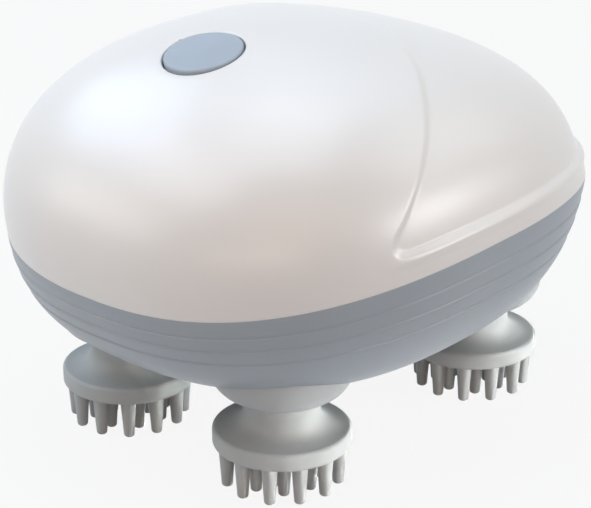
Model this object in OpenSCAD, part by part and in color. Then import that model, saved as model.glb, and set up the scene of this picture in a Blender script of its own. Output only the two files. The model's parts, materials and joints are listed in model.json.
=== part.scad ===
// Cordless scalp massager: an egg-shaped housing on four geared silicone massage heads.
// The origin lies under the middle of the housing, at the level of the finger tips.
// +X runs to the narrow tail, +Z up to the crown.

/* [Housing] */
// Overall length of the housing, blunt end to tail
body_l = 116; // [112:1:124]
// Overall width of the housing at the parting line
body_w = 98; // [96:1:104]
// Height of the crown above the finger tips
crown_h = 80.7; // [78:0.1:88]
// Mean height of the parting line above the finger tips
seam_h = 44.4; // [43.5:0.1:46]
// Height of the flat underside above the finger tips
belly_h = 19.4; // [19:0.1:19.8]
// Wall thickness of both housing shells
wall = 2.2; // [1.8:0.1:2.5]
// Climb of the parting line towards the tail
seam_tilt = 2.2; // [1:0.1:3]
// Arch of the parting line along the sides
seam_arch = 2.6; // [1.5:0.1:3]
// Shift of the crown towards the blunt end
crown_shift = 11.7; // [9:0.1:14]
// Open shadow line between the two shells
seam_reveal = 0.3; // [0.2:0.05:0.5]
// Thickness of the seal that lies in the parting line
seal_t = 1.2; // [0.9:0.1:1.5]

/* [Hood and tail] */
// Depth to which the tail lies below the hood
tail_depth = 0.65; // [0.4:0.05:0.9]
// Height of the step round the tail above the parting line
ledge_h = 5.2; // [4.6:0.1:6]
// Height by which the ledge below that step stands proud
bead_h = 0.5; // [0.2:0.05:0.7]
// Height of the ledge's crest above the parting line
bead_z = 4; // [3.6:0.1:4.4]
// Radius of the corner between the hood edge and the ledge
corner_r = 4; // [2:0.5:6]
// Radius of the hood edge, seen from the side
hood_r = 95.6; // [90:0.1:100]
// Distance of the hood edge's axis from the tail end
hood_back = 14; // [10:0.5:18]
// Depth of the hood edge's axis below the crown
hood_drop = 90.3; // [86:0.1:94]
// Width of the step at the hood edge
crease_w = 1.9; // [1.5:0.1:3]

/* [Grip bands] */
// Number of grooves round the lower shell
groove_n = 3; // [2:1:4]
// Depth of each groove
groove_d = 0.4; // [0.2:0.05:0.6]

/* [Power button] */
// Radius of the button cap
button_r = 7.4; // [6.5:0.1:8.2]
// Place of the button's centre, in percent of the length from the blunt end
button_share = 25.9; // [25.4:0.1:27]
// Height of the cap above the housing
button_rise = 0.3; // [0.2:0.05:0.8]
// Gap round the cap
button_gap = 0.35; // [0.25:0.05:0.5]
// Travel of the button
button_travel = 0.6; // [0.4:0.05:0.8]

/* [Massage heads] */
// Distance of the heads' centres from both ends of the housing
head_inset = 29; // [28.5:0.25:29.5]
// Distance of the heads' centres from both sides of the housing
head_side = 28.5; // [28.25:0.25:29]
// Offset of the group of heads towards the blunt end
head_back = 0.6; // [0:0.1:2]
// Radius of the disc of a head
head_r = 13; // [12:0.1:13.4]
// Height of the upper edge of the disc above the finger tips
rim_top = 11.1; // [10.6:0.1:11.6]
// Height of the rim of the disc
rim_h = 3.5; // [3:0.1:4]
// Radius of the neck of a head
neck_r = 7.2; // [6.9:0.1:8]
// Radius of a finger where it leaves the disc
finger_root_r = 1.55; // [1.2:0.05:1.6]
// Radius of a finger's tip
finger_tip_r = 1.05; // [0.7:0.05:1.1]
// Fingers in the inner ring of each head, each further ring has as many more
finger_step = 4; // [3:1:4]
// Radius of the outer ring of fingers
finger_ring = 10.7; // [10:0.1:10.7]
// Largest radius of the bowl-shaped boot above each head
boot_r = 13.6; // [13:0.1:13.8]

/* [Gear train] */
// Tooth size of the gears, pitch diameter for each tooth
tooth_size = 1; // [0.9:0.05:1]
// Teeth of each head gear
head_teeth = 26; // [24:1:26]
// Thickness of the gears
gear_t = 5; // [4:0.1:5]
// Radius of each output shaft
shaft_r = 2.5; // [2:0.1:3]
// Height of the gear frame's plate above the underside of the housing
frame_rise = 7.1; // [6.9:0.1:7.4]
// Thickness of the gear frame's plate
frame_t = 2.5; // [2:0.1:2.8]

/* [Drive and supply] */
// Radius of the geared motor
motor_r = 12.5; // [10:0.1:13]
// Room between the geared motor and the roof
motor_room = 7; // [7:0.5:10]
// Radius of the rechargeable cell
cell_r = 9.2; // [7:0.1:9.2]
// Distance of the rechargeable cell's ends from both ends of the housing
cell_inset = 25.5; // [25.5:0.5:32]
// Thickness of the circuit board
board_t = 1.6; // [1:0.1:2]

/* [Fits] */
// Radial clearance of a shaft in its bush
run_gap = 0.05; // [0.02:0.01:0.1]
// Clearance between parts that pass each other
free_gap = 0.3; // [0.2:0.05:0.4]
// Radius of the housing screws
screw_r = 1.25; // [1:0.05:1.5]

/* [Hidden] */
$fn = 64;

// Form of the housing: exponents of its plan and of its two profiles
plan_e = 0.83;
egg = 0.04;
crown_e = 0.66;
flank_e = 1.06;
flank_tail = 0.1;
blunt_pull = -0.29;
belly_e = 0.32;
belly_fall = 1.29;
belly_end = 0.91;
around_n = 96;
around = [for (i = [0:around_n - 1]) 360 * i / around_n];
crown_levels = [0, 0.035, 0.066, 0.088, 0.112, 0.13, 0.147, 0.166, 0.2, 0.26, 0.33, 0.4, 0.47,
  0.54, 0.61, 0.68, 0.75, 0.81, 0.865, 0.91, 0.95, 0.975, 0.992];
seat_gap = 0.05;
crown_inner_levels = [0.03, 0.12, 0.25, 0.42, 0.6, 0.76, 0.88, 0.96];
bead_half = 1.7;
bead_run = 9;
fade_top = 1.2;
fade_h = 6;

// Grooves of the lower shell, as shares of the way from the parting line to the underside
groove_first = 0.154;
groove_pitch = 0.096;
groove_half = 0.02;
groove_at = [for (k = [0:groove_n - 1]) groove_first + k * groove_pitch];
belly_levels = concat([0, 0.05], [for (g = groove_at) each [g - groove_half, g, g + groove_half]],
  [0.56, 0.66, 0.75, 0.83, belly_end]);
belly_inner_levels = [0.05, 0.2, 0.4, 0.6, 0.76, belly_end];

// Heights through the gear train
frame_h = belly_h + frame_rise;
head_x = body_l / 2 - head_inset;
head_y = body_w / 2 - head_side;
heads = [[-head_x, -head_y], [head_x, -head_y], [head_x, head_y], [-head_x, head_y]];
shaft_pitch = norm([head_x, head_y]);
center_teeth = round(2 * shaft_pitch / tooth_size) - head_teeth;
gear_m = 2 * shaft_pitch / (center_teeth + head_teeth);
addendum = 0.92;
center_tip = gear_m * (center_teeth / 2 + addendum);
head_tip = gear_m * (head_teeth / 2 + addendum);
gear_hub = 0.6;
gear_z = frame_h + frame_t + 2;
cover_z = gear_z + gear_t + 1;
cover_t = 2.5;
cover_top = cover_z + cover_t;
floor_z = belly_h + wall;
boot_t = 1.5;
boot_low = rim_top + 6.4;
neck_top = boot_low - free_gap;
tower_r = boot_r - boot_t - 0.9;
tower_low = boot_low + boot_t + free_gap;
bush_r = shaft_r + 1.5;
opening_r = boot_r + 0.2;
frame_disc_r = boot_r - 0.9;
hub_r = 5.4;
hub_low = rim_top - rim_h + 1.9;
shaft_low = hub_low + 1;
collar_h = 1;
collar_r = shaft_r + 1;
tooth_thin = 0.07;

// Posts and screws
post_r = 3.2;
tube_r = 4.2;
counter_r = 2.6;
screw_head_r = 2.3;
screw_head_t = 1.5;
screw_seat = frame_h + 2;
pilot_r = screw_r - 0.15;
post_x = body_l / 2 - 18;
post_y = body_w / 2 - 13;
posts = [[post_x, 0], [-post_x, 0], [0, post_y], [0, -post_y]];
frame_posts = [for (x = [1, -1], y = [1, -1]) [x * (head_x - 14), 9 * y]];
pillar_r = 2.8;
pillar_x = center_tip + pillar_r + 1.2;
pillar_in = (head_tip + pillar_r + 1.9) * [16, -10.5] / norm([16, 10.5]);
pillar_side = [head_x, head_y] - pillar_in;
pillars = concat([[pillar_x, 0], [-pillar_x, 0]],
  [for (x = [1, -1], y = [1, -1]) [x * pillar_side.x, y * pillar_side.y]]);
frame_x = head_x + 2;
frame_y = head_y + 12.5;

// Button frame: its axis follows the housing's slope
button_x = body_l * (button_share / 100 - 0.5);
button_v = roof_w(button_x, 0);
button_at = crown(180, button_v);
button_n = crown_normal(180, button_v);
button_tilt = atan2(button_n.x, button_n.z);
button_dome = 70;
well_wall = 2.4;
flange_top = -wall - 1.6;
flange_t = 1;
flange_r = button_r + 1.6;
stem_r = 1.7;
switch_top = -7;
switch_h = 3.5;
switch_w = 6.2;
board_top = switch_top - switch_h;
board_l = body_l / 5 + 0.4;
board_w = 24.4;
board_posts = [for (x = [1, -1], y = [1, -1]) [x * (board_l / 2 - 2.6), y * (board_w / 2 - 2.6)]];
board_post_r = 2.1;

// Motor and cell on the gear cover
motor_h = crown_h - wall - motor_room - cover_top;
motor_step = cover_top + motor_h * 0.42;
motor_boss_r = 4;
motor_screw_x = 8;
cell_l = body_l - 2 * cell_inset;
cell_y = motor_r + cell_r + 1.1;
cell_z = cover_top + 1.2 + cell_r;

// Charging contacts in the tail
contact_z = seam_h - 8;
contact_x = body_l / 2 - 12;
contact_dy = 4;
contact_r = 1.3;
contact_w = 7;
block_h = 6;
wire_r = 0.6;
wire_end = 0.15;

function sgn_pow(v, e) = sign(v) * pow(abs(v), e);
function smooth(x) = let (c = min(1, max(0, x))) c * c * (3 - 2 * c);
function plan(t) = [body_l / 2 * sgn_pow(cos(t), plan_e),
  body_w / 2 * sgn_pow(sin(t), plan_e) * (1 - egg * cos(t))];
function seam_z(t) = seam_h + seam_tilt * cos(t) - seam_arch * cos(2 * t);

// Point of the crown's outer surface: t runs round the housing, w from parting line to pole
function crown(t, w) = let (
    sa = pow(w, 1 / crown_e),
    ca = sqrt(max(0, 1 - sa * sa)),
    pull = 1 + blunt_pull * (1 - cos(t)) / 2 * sa,
    s = pow(ca, flank_e + flank_tail * cos(t)) * pull,
    p = plan(t),
    z0 = seam_z(t)
  ) [p.x * s - crown_shift * w, p.y * s, z0 + (crown_h - z0) * w];
function belly(t, v) = let (
    s = pow(cos(90 * v), belly_e),
    drop = pow(sin(90 * v) / sin(90 * belly_end), belly_fall),
    p = plan(t),
    z0 = seam_z(t)
  ) [p.x * s, p.y * s, z0 - (z0 - belly_h) * drop];
// Reach of the lower shell at the tail end, at height z
function tail_x(z) = let (drop = (seam_z(0) - z) / (seam_z(0) - belly_h),
    v = asin(sin(90 * belly_end) * pow(drop, 1 / belly_fall))) body_l / 2 * pow(cos(v), belly_e);

function unit(v) = v / norm(v);
function crown_normal(t, w) = let (
    a = min(w, 0.97) + 0.004,
    along = crown(t, a + 0.01) - crown(t, a - 0.004),
    across = crown(t + 1, a) - crown(t - 1, a)
  ) unit(cross(across, along));
function belly_normal(t, v) = let (
    a = max(v, 0.02),
    along = belly(t, a + 0.01) - belly(t, a - 0.01),
    across = belly(t + 1, a) - belly(t - 1, a)
  ) unit(cross(along, across));

// Level and direction of the crown's point above a place in plan
function roof_t(x, y, w) = atan2(sgn_pow(y / body_w * 2, 1 / plan_e),
  sgn_pow((x + crown_shift * w) / body_l * 2, 1 / plan_e));
function roof_w(x, y, lo = 0, hi = 1, n = 26) = let (
    m = (lo + hi) / 2,
    p = crown(roof_t(x, y, m), m) + [crown_shift * m, 0, 0],
    outside = norm([p.x, p.y]) > norm([x + crown_shift * m, y])
  ) n == 0 ? m : outside ? roof_w(x, y, m, hi, n - 1) : roof_w(x, y, lo, m, n - 1);
// Level of the underside's point below a place in plan
function under_v(x, y, lo = 0, hi = belly_end, n = 26) = let (
    m = (lo + hi) / 2,
    p = belly(roof_t(x, y, 0), m),
    outside = norm([p.x, p.y]) > norm([x, y])
  ) n == 0 ? m : outside ? under_v(x, y, m, hi, n - 1) : under_v(x, y, lo, m, n - 1);

// Distance inside both the hood edge and the step above the ledge, with a rounded corner
function inward(a, b) = a < corner_r && b < corner_r ? corner_r - norm([corner_r - a, corner_r - b]) : min(a, b);

// How far the tail lies below the full surface at a point, negative where the ledge stands proud
function recess(p, t) = let (
    edge = hood_r - norm([p.x - body_l / 2 + hood_back, p.z - crown_h + hood_drop]),
    rise = p.z - seam_z(t),
    step = smooth(inward(edge, rise - ledge_h) / crease_w + 0.5),
    fade = smooth((crown_h - fade_top - p.z) / fade_h),
    bead = smooth(edge / bead_run) * smooth(1 - abs(rise - bead_z) / bead_half)
  ) tail_depth * fade * step - bead_h * bead;
function hooded(t, w) = let (p = crown(t, w)) p - recess(p, t) * crown_normal(t, w);
function groove(v) = max([for (g = groove_at) smooth(1 - abs(v - g) / groove_half)]);
function banded(t, v) = belly(t, v) - groove_d * groove(v) * belly_normal(t, v);

// Closed skin through rings of points, from one pole to the other
module loft(start, rings, end) {
  n = len(rings[0]);
  m = len(rings);
  points = concat([start], [for (r = rings) each r], [end]);
  faces = concat(
    [for (i = [0:n - 1]) [0, 1 + (i + 1) % n, 1 + i]],
    [for (k = [0:m - 2], i = [0:n - 1]) let (a = 1 + k * n + i, b = 1 + k * n + (i + 1) % n)
      each [[a, b + n, a + n], [a, b, b + n]]],
    [for (i = [0:n - 1]) [1 + m * n, 1 + (m - 1) * n + i, 1 + (m - 1) * n + (i + 1) % n]]);
  polyhedron(points, faces, convexity = 8);
}

// Rings of the joint between the shells: outside face, step and inside face at height dz
function rim_ring(inset, dz) = [for (t = around) let (n = crown_normal(t, 0), p = crown(t, 0))
  [p.x - inset * n.x, p.y - inset * n.y, p.z + dz]];

module top_skin() {
  pole = [-crown_shift, 0, crown_h];
  outer = [for (k = [len(crown_levels) - 1:-1:1]) [for (t = around) hooded(t, crown_levels[k])]];
  inner = [for (w = crown_inner_levels)
    [for (t = around) crown(t, w) - wall * crown_normal(t, w)]];
  joint = [rim_ring(0, seam_reveal / 2), rim_ring(wall / 2, seam_reveal / 2),
    rim_ring(wall / 2, seal_t / 2), rim_ring(wall, seal_t / 2)];
  loft(pole, concat(outer, joint, inner), pole - [0, 0, wall]);
}

module lower_skin() {
  outer = [for (k = [len(belly_levels) - 1:-1:1]) [for (t = around) banded(t, belly_levels[k])]];
  inner = [for (v = belly_inner_levels) [for (t = around)
    let (p = belly(t, v) - wall * belly_normal(t, v)) [p.x, p.y, max(p.z, floor_z)]]];
  joint = [rim_ring(0, -seam_reveal / 2), rim_ring(wall / 2, -seam_reveal / 2),
    rim_ring(wall / 2, -seal_t / 2), rim_ring(wall, -seal_t / 2)];
  mirror([0, 0, 1])
    loft([0, 0, -belly_h], [for (r = concat(outer, joint, inner)) [for (p = r) [p.x, p.y, -p.z]]],
      [0, 0, -floor_z]);
}

// Everything on the far side of a plane through p with normal n
module beyond(p, n, reach = 30) {
  translate(p)
    rotate([0, acos(n.z), atan2(n.y, n.x)])
      translate([-reach, -reach, 0])
        cube([2 * reach, 2 * reach, reach]);
}

module at_button() {
  translate([button_at.x, 0, button_at.z])
    rotate([0, button_tilt, 0])
      children();
}

module bore(r, z0, z1) {
  translate([0, 0, z0])
    cylinder(r = r, h = z1 - z0);
}

// Screw with a pan head below the seat, pointing up
module screw_up(seat, length, r = screw_r) {
  bore(r, seat, seat + length);
  bore(screw_head_r, seat - screw_head_t, seat);
}

module screw_down(seat, length, r = screw_r) {
  bore(r, seat - length, seat);
  bore(screw_head_r, seat, seat + screw_head_t);
}

module crown_post(x, y) {
  w = roof_w(x, y);
  t = roof_t(x, y, w);
  p = crown(t, w);
  n = crown_normal(t, w);
  difference() {
    translate([x, y, 0])
      bore(post_r, seam_z(t) + seat_gap, p.z + post_r);
    beyond(p - (wall - 0.4) * n, n);
    translate([x, y, 0])
      bore(pilot_r, seam_z(t) - 1, seam_z(t) + 14);
  }
}

module top_shell() {
  color("#E4E4E0") {
    difference() {
      union() {
        top_skin();
        at_button() bore(button_r + button_gap + well_wall, flange_top + 0.1, -wall);
      }
      at_button() bore(button_r + button_gap, flange_top - 4, 4);
    }
    for (p = posts) crown_post(p.x, p.y);
    at_button() for (p = board_posts) translate([p.x, p.y, 0]) difference() {
      bore(board_post_r, board_top, p.x > 0 ? -wall - 0.4 : -wall - 0.8);
      bore(pilot_r, board_top - 1, board_top + 4);
    }
  }
}

module belly_tube(x, y) {
  v = under_v(x, y);
  t = roof_t(x, y, 0);
  p = belly(t, v);
  n = belly_normal(t, v);
  difference() {
    translate([x, y, 0])
      bore(tube_r, p.z - 3, seam_z(t) - seat_gap);
    beyond(p - wall / 2 * n, n);
  }
}

module lower_shell() {
  color("#868D96")
    difference() {
      union() {
        lower_skin();
        for (p = posts) belly_tube(p.x, p.y);
        for (p = frame_posts) translate([p.x, p.y, 0]) bore(post_r, floor_z - wall / 2, frame_h);
      }
      for (h = heads) translate([h.x - head_back, h.y, 0]) bore(opening_r, belly_h - 2, frame_h + 5);
      for (p = posts) translate([p.x, p.y, 0]) {
        bore(counter_r, belly_h - 2, screw_seat);
        bore(screw_r + 0.15, screw_seat - 1, seam_h + 6);
      }
      for (p = frame_posts) translate([p.x, p.y, 0]) bore(pilot_r, floor_z + 1, frame_h + 1);
      for (s = [-1, 1]) translate([contact_x, s * contact_dy, contact_z])
        rotate([0, 90, 0]) cylinder(r = contact_r + 0.05, h = 14);
    }
}

module seam_seal() {
  color("#5F656C")
    ring_seal(wall / 2 + 0.05, wall - 0.05, seal_t / 2);
}

// Band that follows the parting line, from inset a to inset b, half as high as h
module ring_seal(a, b, h) {
  n = around_n;
  rings = [rim_ring(a, -h), rim_ring(a, h), rim_ring(b, h), rim_ring(b, -h)];
  faces = [for (k = [0:3], i = [0:n - 1]) let (p = k * n + i, q = k * n + (i + 1) % n,
      r = (k + 1) % 4 * n + i, s = (k + 1) % 4 * n + (i + 1) % n) each [[p, r, s], [p, s, q]]];
  polyhedron([for (r = rings) each r], faces, convexity = 6);
}

// Cap, flange and stem in one moulding
module power_button() {
  color("#B7C3CD")
    at_button() {
      rise = button_rise;
      difference() {
        union() {
          intersection() {
            bore(button_r, flange_top - 0.2, rise);
            translate([0, 0, rise - button_dome]) sphere(r = button_dome, $fn = 256);
          }
          bore(flange_r, flange_top - flange_t, flange_top);
        }
        bore(button_r - 1.3, flange_top - flange_t - 1, -1);
      }
      bore(stem_r, switch_top + 0.6, -0.8);
      for (a = [0, 90]) rotate(a) translate([-button_r + 1, -0.5, flange_top - 0.6])
        cube([2 * button_r - 2, 1, -flange_top]);
    }
}

module switch_plunger() {
  color("#3A3D40")
    at_button() bore(stem_r, switch_top - 1, switch_top + 0.6);
}

module tact_switch() {
  color("#2C2F33")
    at_button() difference() {
      translate([-switch_w / 2, -switch_w / 2, board_top]) cube([switch_w, switch_w, switch_h]);
      bore(stem_r + free_gap, switch_top - 1 - button_travel - 0.3, switch_top + 1);
    }
}

module circuit_board() {
  color("#2F6B4A")
    at_button() {
      difference() {
        translate([-board_l / 2, -board_w / 2, board_top - board_t])
          cube([board_l, board_w, board_t]);
        for (p = board_posts) translate([p.x, p.y, 0])
          bore(screw_r + 0.1, board_top - board_t - 1, board_top + 1);
      }
      translate([-11, -5, board_top - board_t - 1.6]) cube([7, 10, 1.6]);
      translate([4, -4, board_top - board_t - 2.4]) cube([6, 8, 2.4]);
    }
}

module board_screws() {
  color("#B9BCC0")
    at_button() for (p = board_posts) translate([p.x, p.y, 0])
      screw_up(board_top - board_t, board_t + 3.5, pilot_r);
}

module rechargeable_cell() {
  color("#4F7FA6")
    translate([-cell_l / 2, cell_y, cell_z])
      rotate([0, 90, 0]) {
        cylinder(r = cell_r, h = cell_l - 1);
        translate([0, 0, cell_l - 1]) cylinder(r = cell_r / 3, h = 1);
      }
}

// Saddle with end walls that carries the cell on the gear cover
module cell_cradle() {
  end_t = 1.8;
  color("#5B6167")
    difference() {
      translate([-cell_l / 2 - end_t, cell_y - cell_r + 1, cover_top])
        cube([cell_l + 2 * end_t, 2 * cell_r - 2, cell_r + 1.2]);
      translate([-cell_l / 2 - 0.1, cell_y, cell_z])
        rotate([0, 90, 0]) cylinder(r = cell_r + 0.05, h = cell_l + 0.2);
      for (x = [-cell_l / 3, 0, cell_l / 3]) translate([x - 6, cell_y - cell_r, cover_top + 4])
        cube([12, 2 * cell_r, cell_r]);
      for (p = pillars) translate([p.x - head_back, p.y, 0])
        bore(screw_head_r + free_gap, cover_top - 1, cover_top + screw_head_t + free_gap);
    }
}

module at_drive() {
  translate([-head_back, 0, 0])
    children();
}

module motor_can() {
  top = cover_top + motor_h;
  color("#C4C7CA") at_drive() {
    bore(motor_r - 0.6, motor_step, top - 2);
    bore(motor_r - 3, top - 2, top - 1);
    bore(3, top - 1, top);
  }
}

module motor_gearhead() {
  color("#8C9096")
    at_drive() difference() {
      union() {
        bore(motor_r, cover_top, motor_step);
        bore(motor_boss_r, cover_z + 0.4, cover_top);
      }
      bore(shaft_r + run_gap, cover_z, cover_top + 6);
      for (s = [-1, 1]) translate([s * motor_screw_x, 0, 0]) bore(pilot_r, cover_top - 1, cover_top + 4);
    }
}

module motor_screws() {
  color("#B9BCC0")
    at_drive() for (s = [-1, 1]) translate([s * motor_screw_x, 0, 0]) {
      bore(pilot_r, cover_z + 1, cover_top + 3.5);
      bore(2, cover_z + 0.2, cover_z + 1);
    }
}

module drive_shaft() {
  color("#D0D2D4")
    at_drive() bore(shaft_r, gear_z - 1.6, cover_top + 5.5);
}

function involute(a) = tan(a) * 180 / PI - a;
function flank(n, r, rb, half) = r <= rb ? half + involute(20) : half + involute(20) - involute(acos(rb / r));
function tooth_half(n) = 90 / n - tooth_thin / (gear_m * n / 2) * 180 / PI;

// Involute spur gear with a tooth centred on the angle turn
module spur(n, turn) {
  pitch_r = gear_m * n / 2;
  rb = pitch_r * cos(20);
  root = pitch_r - 1.2 * gear_m;
  tip = pitch_r + addendum * gear_m;
  steps = 4;
  low = max(rb, root + 0.05);
  radii = concat([root], [for (i = [0:steps]) low + (tip - low) * i / steps]);
  half = [for (r = radii) flank(n, r, rb, tooth_half(n))];
  m = len(radii) - 1;
  polygon([for (k = [0:n - 1]) let (a = turn + 360 * k / n) each concat(
    [for (i = [0:m]) radii[i] * [cos(a - half[i]), sin(a - half[i])]],
    [for (i = [m:-1:0]) radii[i] * [cos(a + half[i]), sin(a + half[i])]])]);
}

// Turn of a head gear that puts a space where the centre gear has a tooth
function mesh_turn(h) = let (dir = atan2(h.y, h.x)) dir + 180 + dir * center_teeth / head_teeth
  + 180 / head_teeth;

module center_gear() {
  web_r = gear_m * center_teeth / 2 - 3.4;
  color("#E9E6DA")
    at_drive()
      difference() {
        union() {
          translate([0, 0, gear_z]) linear_extrude(gear_t) spur(center_teeth, 0);
          bore(5.5, gear_z - 2 * gear_hub, gear_z + gear_t + gear_hub);
        }
        bore(shaft_r, gear_z - 3, gear_z + gear_t + 3);
        for (k = [0:5]) rotate(60 * k) translate([web_r * 0.62, 0, 0]) bore(3.2, gear_z - 1, cover_z);
      }
}

// Outline of both plates, with notches for the screw tubes at the sides
module gear_outline(reach) {
  difference() {
    union() {
      for (h = heads) translate([h.x, h.y]) circle(r = reach);
      square([2 * frame_x, 2 * frame_y], center = true);
    }
    for (s = [-1, 1]) translate([head_back, s * posts[2].y]) circle(r = tube_r + 0.5);
  }
}

// Plate with four ribbed bearing towers and six pillars for the cover
module gear_frame() {
  color("#D9DADB")
    at_drive()
      difference() {
        union() {
          translate([0, 0, frame_h]) linear_extrude(frame_t) gear_outline(frame_disc_r);
          for (h = heads) translate([h.x, h.y, 0]) tower();
          for (p = pillars) translate([p.x, p.y, 0]) bore(pillar_r, frame_h + frame_t - 0.5, cover_z);
        }
        for (h = heads) translate([h.x, h.y, 0]) bore(bush_r, tower_low - 1, frame_h + frame_t + 1);
        for (p = pillars) translate([p.x, p.y, 0]) bore(pilot_r, cover_z - 6, cover_z + 1);
        for (p = frame_posts) translate([p.x + head_back, p.y, 0])
          bore(screw_r + 0.15, frame_h - 1, frame_h + frame_t + 1);
      }
}

module tower() {
  difference() {
    bore(tower_r, tower_low, frame_h + 0.5);
    difference() {
      bore(tower_r - 1.6, tower_low - 1, frame_h);
      bore(bush_r + 1.8, tower_low - 2, frame_h + 1);
      for (a = [0:60:120]) rotate(a)
        translate([-tower_r, -0.6, tower_low - 2]) cube([2 * tower_r, 1.2, frame_h]);
    }
  }
}

module gear_cover() {
  color("#D9DADB")
    at_drive()
      difference() {
        translate([0, 0, cover_z]) linear_extrude(cover_t) gear_outline(frame_disc_r + 1.2);
        for (h = heads) translate([h.x, h.y, 0]) bore(bush_r, cover_z - 1, cover_top + 1);
        for (p = pillars) translate([p.x, p.y, 0]) bore(screw_r + 0.15, cover_z - 1, cover_top + 1);
        bore(motor_boss_r + 0.1, cover_z - 1, cover_top + 1);
        for (s = [-1, 1]) translate([s * motor_screw_x, 0, 0]) {
          bore(screw_r + 0.1, cover_z - 1, cover_top + 1);
          bore(2.2, cover_z - 1, cover_z + 1);
        }
      }
}

module cover_screws() {
  color("#B9BCC0")
    for (p = pillars) translate([p.x - head_back, p.y, 0]) screw_down(cover_top, cover_t + 5, pilot_r);
}

module frame_screws() {
  color("#B9BCC0")
    for (p = frame_posts) translate([p.x, p.y, 0])
      screw_down(frame_h + frame_t, frame_t + frame_h - floor_z - 1.3, pilot_r);
}

module cover_bushes() {
  color("#B58A4A")
    for (h = heads) translate([h.x - head_back, h.y, 0]) difference() {
      bore(bush_r, cover_z, cover_top);
      bore(shaft_r + run_gap, cover_z - 1, cover_top + 1);
    }
}

module housing_screws() {
  color("#B9BCC0")
    for (p = posts) translate([p.x, p.y, 0])
      screw_up(screw_seat, seam_z(atan2(p.y, p.x)) + 10 - screw_seat, pilot_r);
}

// Soft plugs that close the four screw wells
module screw_plugs() {
  color("#6F757D")
    for (p = posts) translate([p.x, p.y, 0]) {
      low = belly(roof_t(p.x, p.y, 0), under_v(p.x, p.y)).z;
      bore(counter_r, low + 1.6, screw_seat - screw_head_t);
    }
}

module charge_contacts() {
  color("#D2B56A")
    for (s = [-1, 1]) translate([contact_x, s * contact_dy, contact_z])
      rotate([0, 90, 0]) cylinder(r = contact_r, h = tail_x(contact_z) - 0.4 - contact_x);
}

module contact_block() {
  low = contact_z - block_h / 2;
  color("#3F4347")
    difference() {
      translate([contact_x + 1, -contact_w, low])
        cube([tail_x(low) - wall - 1.2 - contact_x - 1, 2 * contact_w, block_h]);
      for (s = [-1, 1]) translate([contact_x, s * contact_dy, contact_z])
        rotate([0, 90, 0]) cylinder(r = contact_r, h = 10);
    }
}

// Point of the button's frame, in the frame of the part
function from_button(p) = [button_at.x + p.x * cos(button_tilt) + p.z * sin(button_tilt), p.y,
  button_at.z - p.x * sin(button_tilt) + p.z * cos(button_tilt)];

// Points of a smooth path through a chain of points
function bend(p, t) = let (n = len(p) - 1, k = min(n - 1, floor(t)), f = t - k,
    a = p[max(0, k - 1)], b = p[k], c = p[k + 1], d = p[min(n, k + 2)])
  b + f / 2 * (c - a + f * (2 * a - 5 * b + 4 * c - d + f * (3 * b - a - 3 * c + d)));

// Insulated wire through a chain of points
module wire(points) {
  steps = 5;
  side = [0.31, 0.93, 0.19];
  path = [for (t = [0:1 / steps:len(points) - 1.001]) bend(points, t)];
  last = len(path) - 1;
  loft(path[0], [for (k = [0:last])
    let (d = unit(path[min(last, k + 1)] - path[max(0, k - 1)]), u = unit(cross(d, side)), v = cross(u, d))
      [for (a = [0:45:315]) path[k] + wire_r * (u * cos(a) + v * sin(a))]], path[last]);
}

// Wires of motor, cell and charging contacts on side s, down from the circuit board
module wires(s) {
  under = board_top - board_t;
  motor_x = 4 * s - head_back - 3;
  motor_top = cover_top + motor_h - 1;
  cell_end = s * (cell_l / 2 + wire_r + 0.1);
  over_cell = cell_z + cell_r + wire_r + 0.9;
  over_cover = cover_top + 2.8;
  run_y = s > 0 ? -18 : -21.5;
  wire([[motor_x, 4 * s, motor_top + wire_end], [motor_x, 4 * s, motor_top + 0.9],
    [motor_x - 3, 4 * s, motor_top + 1.6], from_button([board_l / 2 - 1.5, 4 * s, board_top + 1.4]),
    from_button([board_l / 2 - 1.5, 4 * s, board_top + wire_end])]);
  wire([[cell_end, cell_y, cell_z + 2], [cell_end, cell_y, over_cell],
    s > 0 ? [button_x + 14, cell_y - 5, over_cell + 1] : [cell_end + 2, cell_y - 6, over_cell + 1],
    from_button([3 * s, 10, under - 4]), from_button([3 * s, 10, under - wire_end])]);
  wire([[contact_x - wire_end, contact_dy * s, contact_z], [contact_x - 1.2, contact_dy * s, contact_z],
    s > 0 ? [contact_x, -2, contact_z + 4.6] : [contact_x - 2.4, -7, contact_z + 1.8],
    [contact_x - 3.8 - 0.7 * s, -12 + 2.5 * s, over_cover], [contact_x - 10 - s, run_y, over_cover],
    [-8, run_y, over_cover], [button_x + 7 * s, run_y + 3.5, cell_z + 2],
    from_button([3 * s, -10, under - 4]), from_button([3 * s, -10, under - wire_end])]);
}

module live_wires() {
  color("#B23A32")
    wires(1);
}

module return_wires() {
  color("#2B2D30")
    wires(-1);
}

module at_head(i) {
  translate([heads[i - 1].x - head_back, heads[i - 1].y, 0])
    children();
}

module shaft_bush(i) {
  top = frame_h + frame_t;
  color("#B58A4A")
    at_head(i) difference() {
      union() {
        bore(bush_r, tower_low, top);
        bore(bush_r + 1.2, top, top + 0.6);
      }
      bore(shaft_r + run_gap, tower_low - 1, top + 2);
    }
}

// Bowl-shaped soft boot that is slipped over the bearing tower
module shaft_boot(i) {
  top = frame_h - 0.1;
  wide = frame_h - 2.3;
  steps = 9;
  flat_r = 6;
  bowl = [for (k = [0:steps]) let (a = 90 * k / steps)
    [flat_r + (boot_r - flat_r) * pow(sin(a), 0.9), wide - (wide - boot_low) * pow(cos(a), 0.9)]];
  in_r = tower_r + 0.05;
  in_low = tower_low - 0.05;
  color("#C6C9C9")
    at_head(i) rotate_extrude()
      polygon(concat([[collar_r + free_gap, boot_low]], bowl, [[boot_r, top], [in_r, top],
        [in_r, in_low], [collar_r + free_gap, in_low]]));
}

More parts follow.
